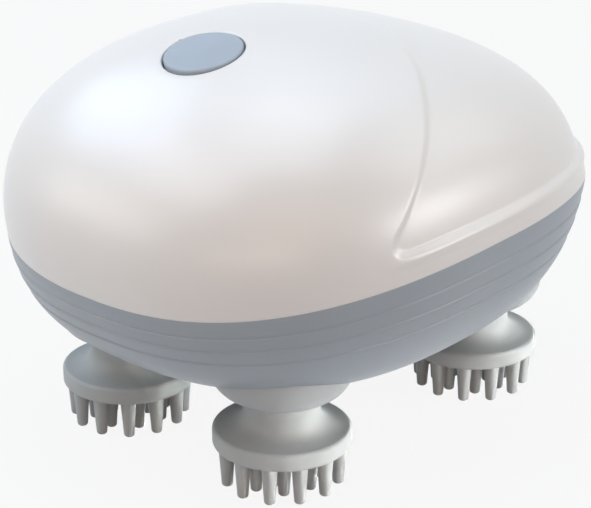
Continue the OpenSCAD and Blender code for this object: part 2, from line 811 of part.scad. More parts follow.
module output_shaft(i) {
  color("#D0D2D4")
    at_head(i) {
      bore(shaft_r, shaft_low, cover_top - 0.4);
      bore(collar_r, tower_low - collar_h - 0.1, tower_low - 0.1);
    }
}

module head_gear(i) {
  color("#E9E6DA")
    at_head(i) difference() {
      union() {
        translate([0, 0, gear_z]) linear_extrude(gear_t) spur(head_teeth, mesh_turn(heads[i - 1]));
        bore(4.6, gear_z - 2 * gear_hub, gear_z + gear_t + gear_hub);
      }
      bore(shaft_r, gear_z - 3, gear_z + gear_t + 3);
      for (k = [0:4]) rotate(72 * k) translate([head_tip * 0.58, 0, 0]) bore(2, gear_z - 1, cover_z);
    }
}

// Hard core that grips the shaft inside the soft head
module head_hub(i) {
  color("#AEB2B5")
    at_head(i) difference() {
      union() {
        bore(hub_r, hub_low, neck_top - 1.4);
        bore(hub_r + 2.6, hub_low, hub_low + 1.6);
      }
      bore(shaft_r, shaft_low, neck_top + 1);
    }
}

module finger() {
  root = rim_top - rim_h;
  steps = 4;
  tip_flat = finger_tip_r * 0.45;
  round_r = finger_tip_r - tip_flat;
  rotate_extrude($fn = 24)
    polygon(concat([[0, 0]], [for (k = [0:steps]) let (a = 90 * k / steps)
      [tip_flat + round_r * sin(a), round_r * (1 - cos(a))]],
      [[finger_root_r, root], [finger_root_r, root + 0.6], [0, root + 0.6]]));
}

// Soft head: neck, flared disc with a rounded rim, and three rings of fingers
module massage_head(i) {
  low = rim_top - rim_h;
  edge = 0.7;
  lip = 0.9;
  steps = 8;
  half_step = 60 / finger_step;
  turn = heads[i - 1].y < 0 ? 0 : half_step;
  rounding = [for (k = [0:3]) let (a = 90 * k / 3) [head_r - lip * (1 - cos(a)), rim_top - lip * (1 - sin(a))]];
  flare = [for (k = [1:steps]) let (a = 90 * k / steps)
    [neck_r + (head_r - lip - neck_r) * pow(1 - sin(a), 1.4), rim_top + (neck_top - rim_top - 2) * (1 - cos(a))]];
  color("#CDD0D0")
    at_head(i) {
      difference() {
        rotate_extrude()
          polygon(concat([[0, low]],
            [for (k = [0:4]) let (a = 90 * k / 4) [head_r - edge + edge * sin(a), low + edge * (1 - cos(a))]],
            rounding, flare, [[neck_r, neck_top], [0, neck_top]]));
        bore(hub_r, hub_low, neck_top - 1.4);
        bore(hub_r + 2.6, hub_low, hub_low + 1.6);
        bore(shaft_r + 0.05, hub_low, neck_top + 1);
      }
      for (ring = [1:3], k = [0:ring * finger_step - 1])
        rotate(turn + 360 * k / (ring * finger_step) + (ring == 1 ? 90 / finger_step : 0))
          translate([finger_ring - (3 - ring) * finger_ring * 0.335, 0, 0]) finger();
    }
}

top_shell();
lower_shell();
seam_seal();
power_button();
switch_plunger();
tact_switch();
circuit_board();
board_screws();
rechargeable_cell();
cell_cradle();
motor_can();
motor_gearhead();
motor_screws();
drive_shaft();
center_gear();
gear_frame();
gear_cover();
cover_screws();
frame_screws();
cover_bushes();
housing_screws();
screw_plugs();
charge_contacts();
contact_block();
live_wires();
return_wires();
for (i = [1:4]) {
  shaft_bush(i);
  shaft_boot(i);
  output_shaft(i);
  head_gear(i);
  head_hub(i);
  massage_head(i);
}
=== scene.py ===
"""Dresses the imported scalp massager: moulded detail, finishes, studio light and camera."""

import json
import logging
import math
from dataclasses import dataclass, field
from enum import Enum
from typing import Callable, Sequence

import bmesh
import bpy
import numpy as np
from mathutils import Matrix, Vector


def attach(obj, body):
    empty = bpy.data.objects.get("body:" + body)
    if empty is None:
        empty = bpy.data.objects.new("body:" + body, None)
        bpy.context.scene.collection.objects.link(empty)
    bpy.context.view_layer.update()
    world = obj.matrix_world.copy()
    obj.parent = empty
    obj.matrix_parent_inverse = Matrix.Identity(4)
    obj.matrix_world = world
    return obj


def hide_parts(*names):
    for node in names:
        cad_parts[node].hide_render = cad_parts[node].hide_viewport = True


MM = 0.001
QUARTER = math.pi / 2
UP, DOWN = np.array([0.0, 0.0, 1.0]), np.array([0.0, 0.0, -1.0])
# Direction that no opening's axis has, so that angles round any of them can be measured from it
SKEW = np.array([0.31, 0.9, 0.2])
# Distance in metres at which two points are one
SAME_POINT = 1e-7
# Distance in mm from an opening's wall at which a grid point gives way to the opening
EDGE_MARGIN = 0.02
# How many radii from its middle an opening still cuts the skin
HOLE_REACH = 3
# Steps of the searches by halves, for the edge of an opening and for the button
EDGE_HALVINGS, PLACE_HALVINGS = 30, 50
LOG = logging.getLogger("massager")

Spot = tuple[float, float]
Profile = list[Spot]
Surface = Callable[[np.ndarray, np.ndarray], np.ndarray]

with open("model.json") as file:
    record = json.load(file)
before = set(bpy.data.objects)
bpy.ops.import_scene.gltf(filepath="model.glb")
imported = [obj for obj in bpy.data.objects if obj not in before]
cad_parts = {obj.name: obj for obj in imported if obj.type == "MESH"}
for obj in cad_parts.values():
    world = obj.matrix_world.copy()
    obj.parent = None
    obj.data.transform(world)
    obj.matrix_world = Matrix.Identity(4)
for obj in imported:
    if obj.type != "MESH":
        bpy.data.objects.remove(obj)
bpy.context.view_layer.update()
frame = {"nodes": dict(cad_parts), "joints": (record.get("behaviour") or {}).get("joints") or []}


# ---------------------------------------------------------------- colours and nodes


def linear(code: str) -> tuple[float, float, float, float]:
    """Turns an sRGB hex colour into linear RGBA.

    Args:
        code: Colour as six hex digits, with or without a leading "#".

    Returns:
        Linear red, green, blue and an alpha of one.
    """
    code = code.lstrip("#")
    parts = [int(code[i:i + 2], 16) / 255 for i in (0, 2, 4)]
    red, green, blue = [c / 12.92 if c <= 0.04045 else ((c + 0.055) / 1.055) ** 2.4 for c in parts]
    return (red, green, blue, 1.0)


def add_node(tree: bpy.types.NodeTree, kind: str, values: dict | None = None,
             links: dict | None = None, **settings: object) -> bpy.types.Node:
    """Adds one node with its settings, socket values and incoming links.

    Args:
        tree: Node tree that gets the node.
        kind: Blender's node type, such as "ShaderNodeTexNoise".
        values: Socket name or index to value.
        links: Socket name or index to the output socket that feeds it.
        **settings: Properties of the node itself.

    Returns:
        The new node.
    """
    node = tree.nodes.new(kind)
    for key, value in settings.items():
        setattr(node, key, value)
    for key, value in (values or {}).items():
        node.inputs[key].default_value = value
    for key, source in (links or {}).items():
        tree.links.new(source, node.inputs[key])
    return node


@dataclass(frozen=True)
class Mottle:
    """Soft patches of a second colour.

    Attributes:
        size: Size of the patches in mm.
        colour: sRGB hex of the second colour.
        amount: Largest share of the second colour.
    """

    size: float
    colour: str
    amount: float


@dataclass(frozen=True)
class Grain:
    """Fine relief of a moulded, ground or painted surface.

    Attributes:
        size: Distance between grains in mm.
        height: Height of the grains in mm.
        stretch: Scale along X, Y and Z, for brushed and drawn surfaces.
    """

    size: float
    height: float
    stretch: tuple[float, float, float] = (1.0, 1.0, 1.0)


@dataclass(frozen=True)
class Finish:
    """One real material with its process, as shader settings.

    Attributes:
        name: Material name.
        colour: sRGB hex of the base colour.
        roughness: Middle roughness.
        spread: How far the roughness wanders to both sides.
        patches: Slow colour variation.
        grain: Fine relief.
        shader: Constant values of the shader's own sockets.
    """

    name: str
    colour: str
    roughness: float
    spread: float
    patches: Mottle
    grain: Grain
    shader: dict = field(default_factory=dict)

    def build(self) -> bpy.types.Material:
        """Makes the node material.

        Returns:
            The finished material.
        """
        material = bpy.data.materials.new(self.name)
        material.use_nodes = True
        tree = material.node_tree
        tree.nodes.clear()
        place = add_node(tree, "ShaderNodeTexCoord")
        fine_place = add_node(tree, "ShaderNodeMapping", {"Scale": self.grain.stretch},
                              {"Vector": place.outputs["Object"]})
        slow = add_node(tree, "ShaderNodeTexNoise",
                        {"Scale": 1000 / self.patches.size, "Detail": 3.0, "Roughness": 0.5},
                        {"Vector": place.outputs["Object"]})
        share = add_node(tree, "ShaderNodeMapRange",
                         {"From Min": 0.35, "From Max": 0.7, "To Min": 0.0, "To Max": self.patches.amount},
                         {"Value": slow.outputs["Fac"]}, interpolation_type="SMOOTHSTEP")
        tint = add_node(tree, "ShaderNodeMix",
                        {6: linear(self.colour), 7: linear(self.patches.colour)},
                        {0: share.outputs["Result"]}, data_type="RGBA")
        fine = add_node(tree, "ShaderNodeTexNoise",
                        {"Scale": 1000 / self.grain.size, "Detail": 2.0, "Roughness": 0.55},
                        {"Vector": fine_place.outputs["Vector"]})
        gloss = add_node(tree, "ShaderNodeMapRange",
                         {"From Min": 0.25, "From Max": 0.75, "To Min": self.roughness - self.spread,
                          "To Max": self.roughness + self.spread}, {"Value": slow.outputs["Fac"]})
        relief = add_node(tree, "ShaderNodeBump", {"Strength": 1.0, "Distance": self.grain.height * MM},
                          {"Height": fine.outputs["Fac"]})
        shader = add_node(tree, "ShaderNodeBsdfPrincipled", self.shader,
                          {"Base Color": tint.outputs[2], "Roughness": gloss.outputs["Result"],
                           "Normal": relief.outputs["Normal"]})
        add_node(tree, "ShaderNodeOutputMaterial", None, {"Surface": shader.outputs["BSDF"]})
        return material


# Pearl lacquer over moulded ABS: milky white that turns cool in the light and warm in the shade,
# under a clear coat with soft highlights
PEARL_LACQUER = Finish("pearl_lacquer_on_moulded_abs", "#EFEAE5", 0.42, 0.03, Mottle(60.0, "#ECE5E0", 0.6),
                       Grain(0.35, 0.0006),
                       {"IOR": 1.5, "Specular Tint": linear("#DCE9FF"), "Metallic": 0.08,
                        "Coat Weight": 0.6, "Coat Roughness": 0.28, "Coat IOR": 1.5})
# Satin moulded ABS in grey-blue: even, with the fine tooth of an eroded mould
SATIN_ABS = Finish("satin_moulded_abs_grey_blue", "#A5ADB5", 0.42, 0.04, Mottle(40.0, "#9DA6AF", 0.5),
                   Grain(0.3, 0.002), {"IOR": 1.53, "Coat Weight": 0.08, "Coat Roughness": 0.35})
# Satin moulded ABS of the button: a shade lighter and bluer than the band
BUTTON_ABS = Finish("satin_moulded_abs_button", "#AEB9C4", 0.4, 0.03, Mottle(12.0, "#A7B1BF", 0.6),
                    Grain(0.25, 0.002), {"IOR": 1.53})
# Liquid silicone rubber: soft light grey with a matt bloom and a little light inside
SILICONE = Finish("moulded_silicone_rubber", "#BBBFBF", 0.56, 0.05, Mottle(9.0, "#B4B8B9", 0.6),
                  Grain(0.18, 0.0025),
                  {"IOR": 1.41, "Subsurface Weight": 0.12, "Subsurface Radius": (0.7, 0.7, 0.75),
                   "Subsurface Scale": 0.0012, "Sheen Weight": 0.06, "Sheen Roughness": 0.4})
# The same rubber in the boots, slightly darker from its thicker wall
BOOT_SILICONE = Finish("moulded_silicone_boot", "#BEC2C3", 0.55, 0.05, Mottle(14.0, "#B7BBBD", 0.6),
                       Grain(0.2, 0.0025),
                       {"IOR": 1.41, "Subsurface Weight": 0.08, "Subsurface Radius": (0.7, 0.7, 0.75),
                        "Subsurface Scale": 0.0012, "Sheen Weight": 0.05, "Sheen Roughness": 0.4})
# Soft elastomer of the seal: near black grey, dull, so that the parting line reads as a shadow
SEAL_RUBBER = Finish("moulded_elastomer_seal", "#4A4F55", 0.62, 0.06, Mottle(6.0, "#41464B", 0.5),
                     Grain(0.2, 0.003), {"IOR": 1.5})
# The same elastomer in the plugs: mid grey and matt, quiet in the underside
PLUG_RUBBER = Finish("moulded_elastomer_plug", "#6D747C", 0.58, 0.05, Mottle(4.0, "#656C74", 0.5),
                     Grain(0.2, 0.003), {"IOR": 1.5})
# Moulded ABS of the inner frames: off-white, eroded mould texture
FRAME_ABS = Finish("moulded_abs_frame", "#D6D7D8", 0.5, 0.05, Mottle(25.0, "#CDCECF", 0.5),
                   Grain(0.3, 0.004), {"IOR": 1.53})
# Moulded ABS of the hubs: mid grey, close to the silicone round it
HUB_ABS = Finish("moulded_abs_hub", "#AEB2B5", 0.5, 0.05, Mottle(8.0, "#A6AAAD", 0.5),
                 Grain(0.3, 0.004), {"IOR": 1.53})
# Dark moulded ABS of switch, plunger and contact block: near black with a soft sheen
DARK_ABS = Finish("moulded_abs_dark", "#34373A", 0.48, 0.05, Mottle(6.0, "#2D3033", 0.5),
                  Grain(0.3, 0.004), {"IOR": 1.53})
# Moulded ABS of the cradle: slate grey that sets off the cell's film
CRADLE_ABS = Finish("moulded_abs_cradle", "#5B6167", 0.5, 0.05, Mottle(20.0, "#535960", 0.5),
                    Grain(0.3, 0.004), {"IOR": 1.53})
# Natural acetal of the gears: waxy and slightly translucent
ACETAL = Finish("machined_acetal", "#E8E5DA", 0.36, 0.04, Mottle(15.0, "#E2DED0", 0.5),
                Grain(0.4, 0.002, (1.0, 1.0, 8.0)),
                {"IOR": 1.48, "Subsurface Weight": 0.1, "Subsurface Radius": (0.8, 0.75, 0.6),
                 "Subsurface Scale": 0.001})
# Ground steel: bright with fine turning marks round the shaft
GROUND_STEEL = Finish("ground_steel", "#C9CBCD", 0.24, 0.05, Mottle(5.0, "#BDBFC2", 0.5),
                      Grain(0.12, 0.001, (1.0, 1.0, 14.0)), {"Metallic": 1.0})
# Zinc-plated steel of the screws: pale metal with softened, uneven highlights
ZINC_SCREWS = Finish("zinc_plated_steel", "#BFC2C4", 0.32, 0.06, Mottle(2.0, "#B1B5B8", 0.6),
                     Grain(0.15, 0.002), {"Metallic": 1.0})
# Nickel-plated drawn steel of the motor: bright, with fine lines along its height
PLATED_CAN = Finish("nickel_plated_drawn_steel", "#C2C4C6", 0.28, 0.05, Mottle(12.0, "#B6B8BA", 0.5),
                    Grain(0.2, 0.001, (1.0, 1.0, 0.1)), {"Metallic": 1.0})
# Sintered bronze: dull brown gold, porous
SINTERED_BRONZE = Finish("sintered_bronze", "#B08A4E", 0.46, 0.08, Mottle(1.5, "#8F6E3C", 0.7),
                         Grain(0.12, 0.006), {"Metallic": 1.0})
# Gold flash over brass: smooth and warm
GOLD_CONTACT = Finish("gold_plated_brass", "#E3C77A", 0.2, 0.04, Mottle(1.5, "#D8BA6C", 0.4),
                      Grain(0.1, 0.0005), {"Metallic": 1.0})
# Solder mask over glass fibre: satin green with the weave just showing
SOLDER_MASK = Finish("solder_mask_on_glass_fibre", "#2C6446", 0.34, 0.05, Mottle(3.0, "#24573C", 0.6),
                     Grain(0.45, 0.002), {"IOR": 1.55})
# Heat-shrunk film round the cell: tight, glossy
SHRINK_FILM = Finish("shrink_film_sleeve", "#4C7DA5", 0.26, 0.04, Mottle(20.0, "#44749B", 0.5),
                     Grain(1.2, 0.004), {"IOR": 1.54})
# Extruded insulation of the live wires: smooth clear red with a soft gloss
LIVE_INSULATION = Finish("extruded_insulation_red", "#B03A30", 0.42, 0.05, Mottle(3.0, "#A3342B", 0.5),
                         Grain(0.2, 0.002), {"IOR": 1.53})
# The same insulation of the return wires: black, just lighter than the shadows round it
RETURN_INSULATION = Finish("extruded_insulation_black", "#2A2B2D", 0.42, 0.05, Mottle(3.0, "#222325", 0.5),
                           Grain(0.2, 0.002), {"IOR": 1.53})


# ---------------------------------------------------------------- form of the housing


def signed_power(value: np.ndarray, exponent: float) -> np.ndarray:
    """Returns the power of the magnitude with the sign kept."""
    return np.sign(value) * np.abs(value) ** exponent


def smooth(value: np.ndarray) -> np.ndarray:
    """Returns a smooth step from 0 at 0 to 1 at 1."""
    clipped = np.clip(value, 0.0, 1.0)
    return clipped * clipped * (3 - 2 * clipped)


def even_turns(count: int) -> np.ndarray:
    """Returns evenly spread angles of a full turn, without its end."""
    return np.linspace(0, 2 * math.pi, count, endpoint=False)


@dataclass(frozen=True)
class HousingForm:
    """The egg-shaped form that both shells share, with its sizes in mm.

    Attributes:
        length: Length at the parting line.
        width: Width at the parting line.
        crown: Height of the crown.
        seam: Mean height of the parting line.
        belly: Height of the flat underside.
        wall: Wall of both shells.
        tilt: Rise of the parting line towards the tail.
        arch: Rise of the parting line at the sides.
        shift: How far the crown's pole lies towards the blunt end.
        plan_exponent: Squareness of the outline from above, 1 for an ellipse.
        egg: Share by which the tail is narrower.
        crown_exponent: Fullness of the crown from the side.
        flank_exponent: Fullness of the flanks.
        flank_tail: What the tail end adds to that.
        blunt_pull: Share by which the blunt end grows as it rises, here it shrinks.
        belly_exponent: Fullness of the underside.
        belly_fall: How late the underside falls.
        belly_end: Level at which the flat of the underside starts.
        tail_depth: How far the tail lies below the hood.
        ledge: Height of the tail's lower edge above the parting line.
        bead: How far the rounded ledge stands proud.
        bead_rise: Height of the middle of the ledge above the parting line.
        bead_half: Half the width of the ledge.
        bead_run: Length over which the ledge grows behind the hood's edge.
        corner: Radius between the hood's edge and the ledge.
        hood_radius: Radius of the hood's edge, seen from the side.
        hood_back: Distance of that arc's centre from the tail end.
        hood_drop: Distance of that arc's centre below the crown.
        crease: Width of the step at the hood's edge.
        fade_top: Distance below the crown at which the step has faded out.
        fade: Height over which it fades.
        grooves: Levels of the grooves.
        groove_depth: Their depth.
        cut_half: Half a groove's width, as a level.
        cut_share: Share of the depth that the groove itself has.
        lap_run: How far a lap slopes down to its groove, as a level.
        lap_share: Share of the depth that the lap reaches.
    """

    length: float = 116.0
    width: float = 98.0
    crown: float = 80.7
    seam: float = 44.4
    belly: float = 19.4
    wall: float = 2.2
    tilt: float = 2.2
    arch: float = 2.6
    shift: float = 11.7
    plan_exponent: float = 0.83
    egg: float = 0.04
    crown_exponent: float = 0.66
    flank_exponent: float = 1.06
    flank_tail: float = 0.1
    blunt_pull: float = -0.29
    belly_exponent: float = 0.32
    belly_fall: float = 1.29
    belly_end: float = 0.91
    tail_depth: float = 0.65
    ledge: float = 5.2
    bead: float = 0.5
    bead_rise: float = 4.0
    bead_half: float = 1.7
    bead_run: float = 9.0
    corner: float = 4.0
    hood_radius: float = 95.6
    hood_back: float = 14.0
    hood_drop: float = 90.3
    crease: float = 1.25
    fade_top: float = 0.6
    fade: float = 4.5
    grooves: tuple[float, ...] = (0.154, 0.25, 0.346)
    groove_depth: float = 0.4
    cut_half: float = 0.011
    cut_share: float = 0.8
    lap_run: float = 0.095
    lap_share: float = 0.35

    def seam_height(self, turn: np.ndarray) -> np.ndarray:
        """Returns the height of the parting line at an angle in radians."""
        return self.seam + self.tilt * np.cos(turn) - self.arch * np.cos(2 * turn)

    def plan(self, turn: np.ndarray) -> tuple[np.ndarray, np.ndarray]:
        """Gives the outline of the parting line, seen from above.

        Args:
            turn: Angle round the housing in radians.

        Returns:
            X and Y in mm.
        """
        cosine, sine = np.cos(turn), np.sin(turn)
        return (self.length / 2 * signed_power(cosine, self.plan_exponent),
                self.width / 2 * signed_power(sine, self.plan_exponent) * (1 - self.egg * cosine))

    def roof(self, turn: np.ndarray, level: np.ndarray) -> np.ndarray:
        """Gives points of the plain crown, without the lower-lying tail.

        Args:
            turn: Angle round the housing in radians.
            level: 0 at the parting line to 1 at the pole.

        Returns:
            Points with X, Y and Z in the last axis.
        """
        turn, level = np.broadcast_arrays(turn, level)
        rise = level ** (1 / self.crown_exponent)
        fall = np.sqrt(np.clip(1 - rise * rise, 0, 1))
        pull = 1 + self.blunt_pull * (1 - np.cos(turn)) / 2 * rise
        share = fall ** (self.flank_exponent + self.flank_tail * np.cos(turn)) * pull
        x, y = self.plan(turn)
        base = self.seam_height(turn)
        return np.stack([x * share - self.shift * level, y * share, base + (self.crown - base) * level], -1)

    def under(self, turn: np.ndarray, level: np.ndarray) -> np.ndarray:
        """Gives points of the plain lower shell, without its grooves.

        Args:
            turn: Angle round the housing in radians.
            level: 0 at the parting line to 1 at the middle of the underside.

        Returns:
            Points with X, Y and Z in the last axis.
        """
        turn, level = np.broadcast_arrays(turn, level)
        end, angle = QUARTER * self.belly_end, QUARTER * np.minimum(level, self.belly_end)
        flat = math.cos(end) ** self.belly_exponent * (1 - level) / (1 - self.belly_end)
        share = np.where(level <= self.belly_end, np.cos(angle) ** self.belly_exponent, flat)
        reach = np.sin(angle) / math.sin(end)
        x, y = self.plan(turn)
        base = self.seam_height(turn)
        return np.stack([x * share, y * share, base - (base - self.belly) * reach ** self.belly_fall], -1)

    def normal(self, surface: Surface, turn: np.ndarray, level: np.ndarray, step: float = 0.004,
               top: float = 0.985) -> np.ndarray:
        """Gives the outward normals of a surface by differences.

        Args:
            surface: Function of turn and level.
            turn: Angles in radians.
            level: Levels, kept a little off both ends.
            step: Half the difference step.
            top: Highest level at which the differences are taken.

        Returns:
            Unit normals, X, Y and Z in the last axis.
        """
        turn, level = np.broadcast_arrays(turn, np.clip(level, step * 1.5, top))
        along = surface(turn, level + step) - surface(turn, level - step)
        across = surface(turn + step, level) - surface(turn - step, level)
        cross = np.cross(across, along)
        cross /= np.linalg.norm(cross, axis=-1, keepdims=True) + 1e-12
        middle = surface(turn, level) - np.array([0.0, 0.0, self.seam])
        return cross * np.sign(np.sum(cross * middle, axis=-1, keepdims=True))

    def tail_fall(self, point: np.ndarray, turn: np.ndarray) -> np.ndarray:
        """Returns how far the tail lies below the full form, negative on the proud ledge.

        Args:
            point: Points of the full form in mm.
            turn: Their angles in radians.

        Returns:
            Depth in mm.
        """
        edge = self.hood_radius - np.hypot(point[..., 0] - self.length / 2 + self.hood_back,
                                           point[..., 2] - self.crown + self.hood_drop)
        rise = point[..., 2] - self.seam_height(turn)
        above = rise - self.ledge
        near = (edge < self.corner) & (above < self.corner)
        inward = np.where(near, self.corner - np.hypot(self.corner - edge, self.corner - above),
                          np.minimum(edge, above))
        fade = smooth((self.crown - self.fade_top - point[..., 2]) / self.fade)
        bead = smooth(edge / self.bead_run) * smooth(1 - np.abs(rise - self.bead_rise) / self.bead_half)
        return self.tail_depth * fade * smooth(inward / self.crease + 0.5) - self.bead * bead

    def hood(self, turn: np.ndarray, level: np.ndarray) -> np.ndarray:
        """Gives points of the finished crown with its lower-lying tail.

        Args:
            turn: Angle round the housing in radians.
            level: 0 at the parting line to 1 at the pole.

        Returns:
            Points with X, Y and Z in the last axis.
        """
        point = self.roof(turn, level)
        fall = self.tail_fall(point, np.broadcast_arrays(turn, level)[0])
        return point - fall[..., None] * self.normal(self.roof, turn, level)

    def band(self, turn: np.ndarray, level: np.ndarray) -> np.ndarray:
        """Gives points of the lower shell with its lapped grooves.

        Args:
            turn: Angle round the housing in radians.
            level: 0 at the parting line to 1 at the middle of the underside.

        Returns:
            Points with X, Y and Z in the last axis.
        """
        point = self.under(turn, level)
        depth = np.zeros(point.shape[:-1])
        for place in self.grooves:
            away = (level - place) / self.lap_run
            lap = self.lap_share * smooth(1 + away) * (away < 0)
            cut = smooth(1 - np.abs(level - place) / self.cut_half)
            depth = np.maximum(depth, self.groove_depth * np.maximum(cut * self.cut_share, lap))
        return point - depth[..., None] * self.normal(self.under, turn, level)

    def roof_inside(self, turn: np.ndarray, level: np.ndarray) -> np.ndarray:
        """Returns points of the top shell's inner face."""
        return self.roof(turn, level) - self.wall * self.normal(self.roof, turn, level)

    def under_inside(self, turn: np.ndarray, level: np.ndarray) -> np.ndarray:
        """Gives points of the lower shell's inner face, with its flat floor.

        Args:
            turn: Angle round the housing in radians.
            level: 0 at the parting line to 1 at the middle of the underside.

        Returns:
            Points with X, Y and Z in the last axis.
        """
        point = self.under(turn, level) - self.wall * self.normal(self.under, turn, level)
        point[..., 2] = np.maximum(point[..., 2], self.belly + self.wall)
        return point


FORM = HousingForm()


# ---------------------------------------------------------------- meshes


@dataclass
class Hole:
    """A round opening in a skin.

    Attributes:
        centre: Point on the axis in mm.
        axis: Direction of the axis.
        radius: Radius in mm.
        param: Turn and level of the middle of the opening.
    """

    centre: np.ndarray
    axis: np.ndarray
    radius: float
    param: Spot

    def gap(self, point: np.ndarray) -> np.ndarray:
        """Gives the distance of points from the opening's wall.

        Args:
            point: Points in mm.

        Returns:
            Distances in mm, negative inside.
        """
        offset = point - self.centre
        along = offset @ self.axis
        return np.linalg.norm(offset - along[..., None] * self.axis, axis=-1) - self.radius

    def narrowed(self, by: float) -> "Hole":
        """Returns the same opening with a smaller radius."""
        return Hole(self.centre, self.axis, self.radius - by, self.param)


class MeshKit:
    """Collects vertices and faces in mm and makes one object from them."""

    def __init__(self) -> None:
        """Starts an empty mesh."""
        self.points: list[np.ndarray] = []
        self.count = 0
        self.faces: list[Sequence[int]] = []

    def add(self, points: np.ndarray) -> np.ndarray:
        """Adds points.

        Args:
            points: Coordinates in mm in the last axis.

        Returns:
            Their numbers, in the same shape.
        """
        flat = points.reshape(-1, 3)
        numbers = np.arange(self.count, self.count + len(flat))
        self.points.append(flat)
        self.count += len(flat)
        return numbers.reshape(points.shape[:-1])

    def circle(self, radius: float, height: float, turns: np.ndarray, spot: Spot = (0.0, 0.0)) -> list[int]:
        """Adds a level circle of points.

        Args:
            radius: Its radius in mm.
            height: Its height in mm.
            turns: Angle of each point.
            spot: Its middle in plan.

        Returns:
            Numbers of the points.
        """
        x, y = spot[0] + radius * np.cos(turns), spot[1] + radius * np.sin(turns)
        return list(self.add(np.stack([x, y, np.full(len(turns), height)], -1)))

    def strip(self, first: Sequence[int], second: Sequence[int], flip: bool = False) -> None:
        """Joins two closed rings of equal length with quads.

        Args:
            first: Point numbers of one ring.
            second: Point numbers of the other.
            flip: Whether the faces look the other way.
        """
        count = len(first)
        for i in range(count):
            j = (i + 1) % count
            quad = (first[i], first[j], second[j], second[i])
            self.faces.append(quad[::-1] if flip else quad)

    def sweep(self, last: list[int], profile: Profile, turns: np.ndarray,
              spot: Spot = (0.0, 0.0)) -> list[int]:
        """Carries a ring on along a turned profile.

        Args:
            last: The ring to start from.
            profile: Radius and height of each further ring in mm.
            turns: Angle of each point.
            spot: Place of the axis in plan.

        Returns:
            The last ring.
        """
        for radius, height in profile:
            ring = self.circle(radius, height, turns, spot)
            self.strip(last, ring)
            last = ring
        return last

    def fan(self, ring: Sequence[int], apex: Sequence[float]) -> None:
        """Closes a ring with triangles to one more point."""
        middle = int(self.add(np.array([apex]))[0])
        self.faces += [(a, b, middle) for a, b in zip(ring, np.roll(ring, -1))]

    def by_angle(self, ring: Sequence[int], hole: Hole) -> tuple[list[int], np.ndarray]:
        """Orders a ring by its angle about an axis.

        Args:
            ring: Point numbers in order, to either side.
            hole: Opening whose axis it goes round.

        Returns:
            The ring from its smallest angle on, and its angles.
        """
        side = np.cross(hole.axis, SKEW)
        side /= np.linalg.norm(side)
        offset = np.concatenate(self.points)[list(ring)] - hole.centre
        angle = np.arctan2(offset @ np.cross(hole.axis, side), offset @ side)
        onward = np.angle(np.exp(1j * (np.roll(angle, -1) - angle))).sum() > 0
        ring, angle = (list(ring), angle) if onward else (list(ring)[::-1], angle[::-1])
        start = int(np.argmin(angle))
        return ring[start:] + ring[:start], np.unwrap(np.roll(angle, -start))

    def zip_rings(self, first: Sequence[int], second: Sequence[int], hole: Hole) -> None:
        """Joins two closed rings of any lengths with triangles.

        Args:
            first: Point numbers of one ring.
            second: Point numbers of the other.
            hole: Opening whose axis both go round.
        """
        a, angle_a = self.by_angle(first, hole)
        b, angle_b = self.by_angle(second, hole)
        angle_a, angle_b = [np.append(angle, angle[0] + 2 * math.pi) for angle in (angle_a, angle_b)]
        i = j = 0
        while i < len(a) or j < len(b):
            if j == len(b) or (i < len(a) and angle_a[i + 1] <= angle_b[j + 1]):
                self.faces.append((a[i % len(a)], a[(i + 1) % len(a)], b[j % len(b)]))
                i += 1
            else:
                self.faces.append((a[i % len(a)], b[(j + 1) % len(b)], b[j % len(b)]))
                j += 1

    def build(self, name: str, finish: bpy.types.Material) -> bpy.types.Object:
        """Makes the object, with its faces turned outward together.

        Args:
            name: Name of the piece.
            finish: Its material.

        Returns:
            The object, linked into the scene.
        """
        mesh = bpy.data.meshes.new(name)
        points = np.concatenate(self.points) * MM
        mesh.from_pydata(points.tolist(), [], [tuple(int(k) for k in face) for face in self.faces])
        work = bmesh.new()
        work.from_mesh(mesh)
        loose = [v for v in work.verts if not v.link_faces]
        bmesh.ops.delete(work, geom=loose, context="VERTS")
        bmesh.ops.remove_doubles(work, verts=work.verts, dist=SAME_POINT)
        bmesh.ops.recalc_face_normals(work, faces=work.faces)
        for face in work.faces:
            face.smooth = True
        work.to_mesh(mesh)
        work.free()
        mesh.materials.append(finish)
        thing = bpy.data.objects.new(name, mesh)
        bpy.context.scene.collection.objects.link(thing)
        return thing


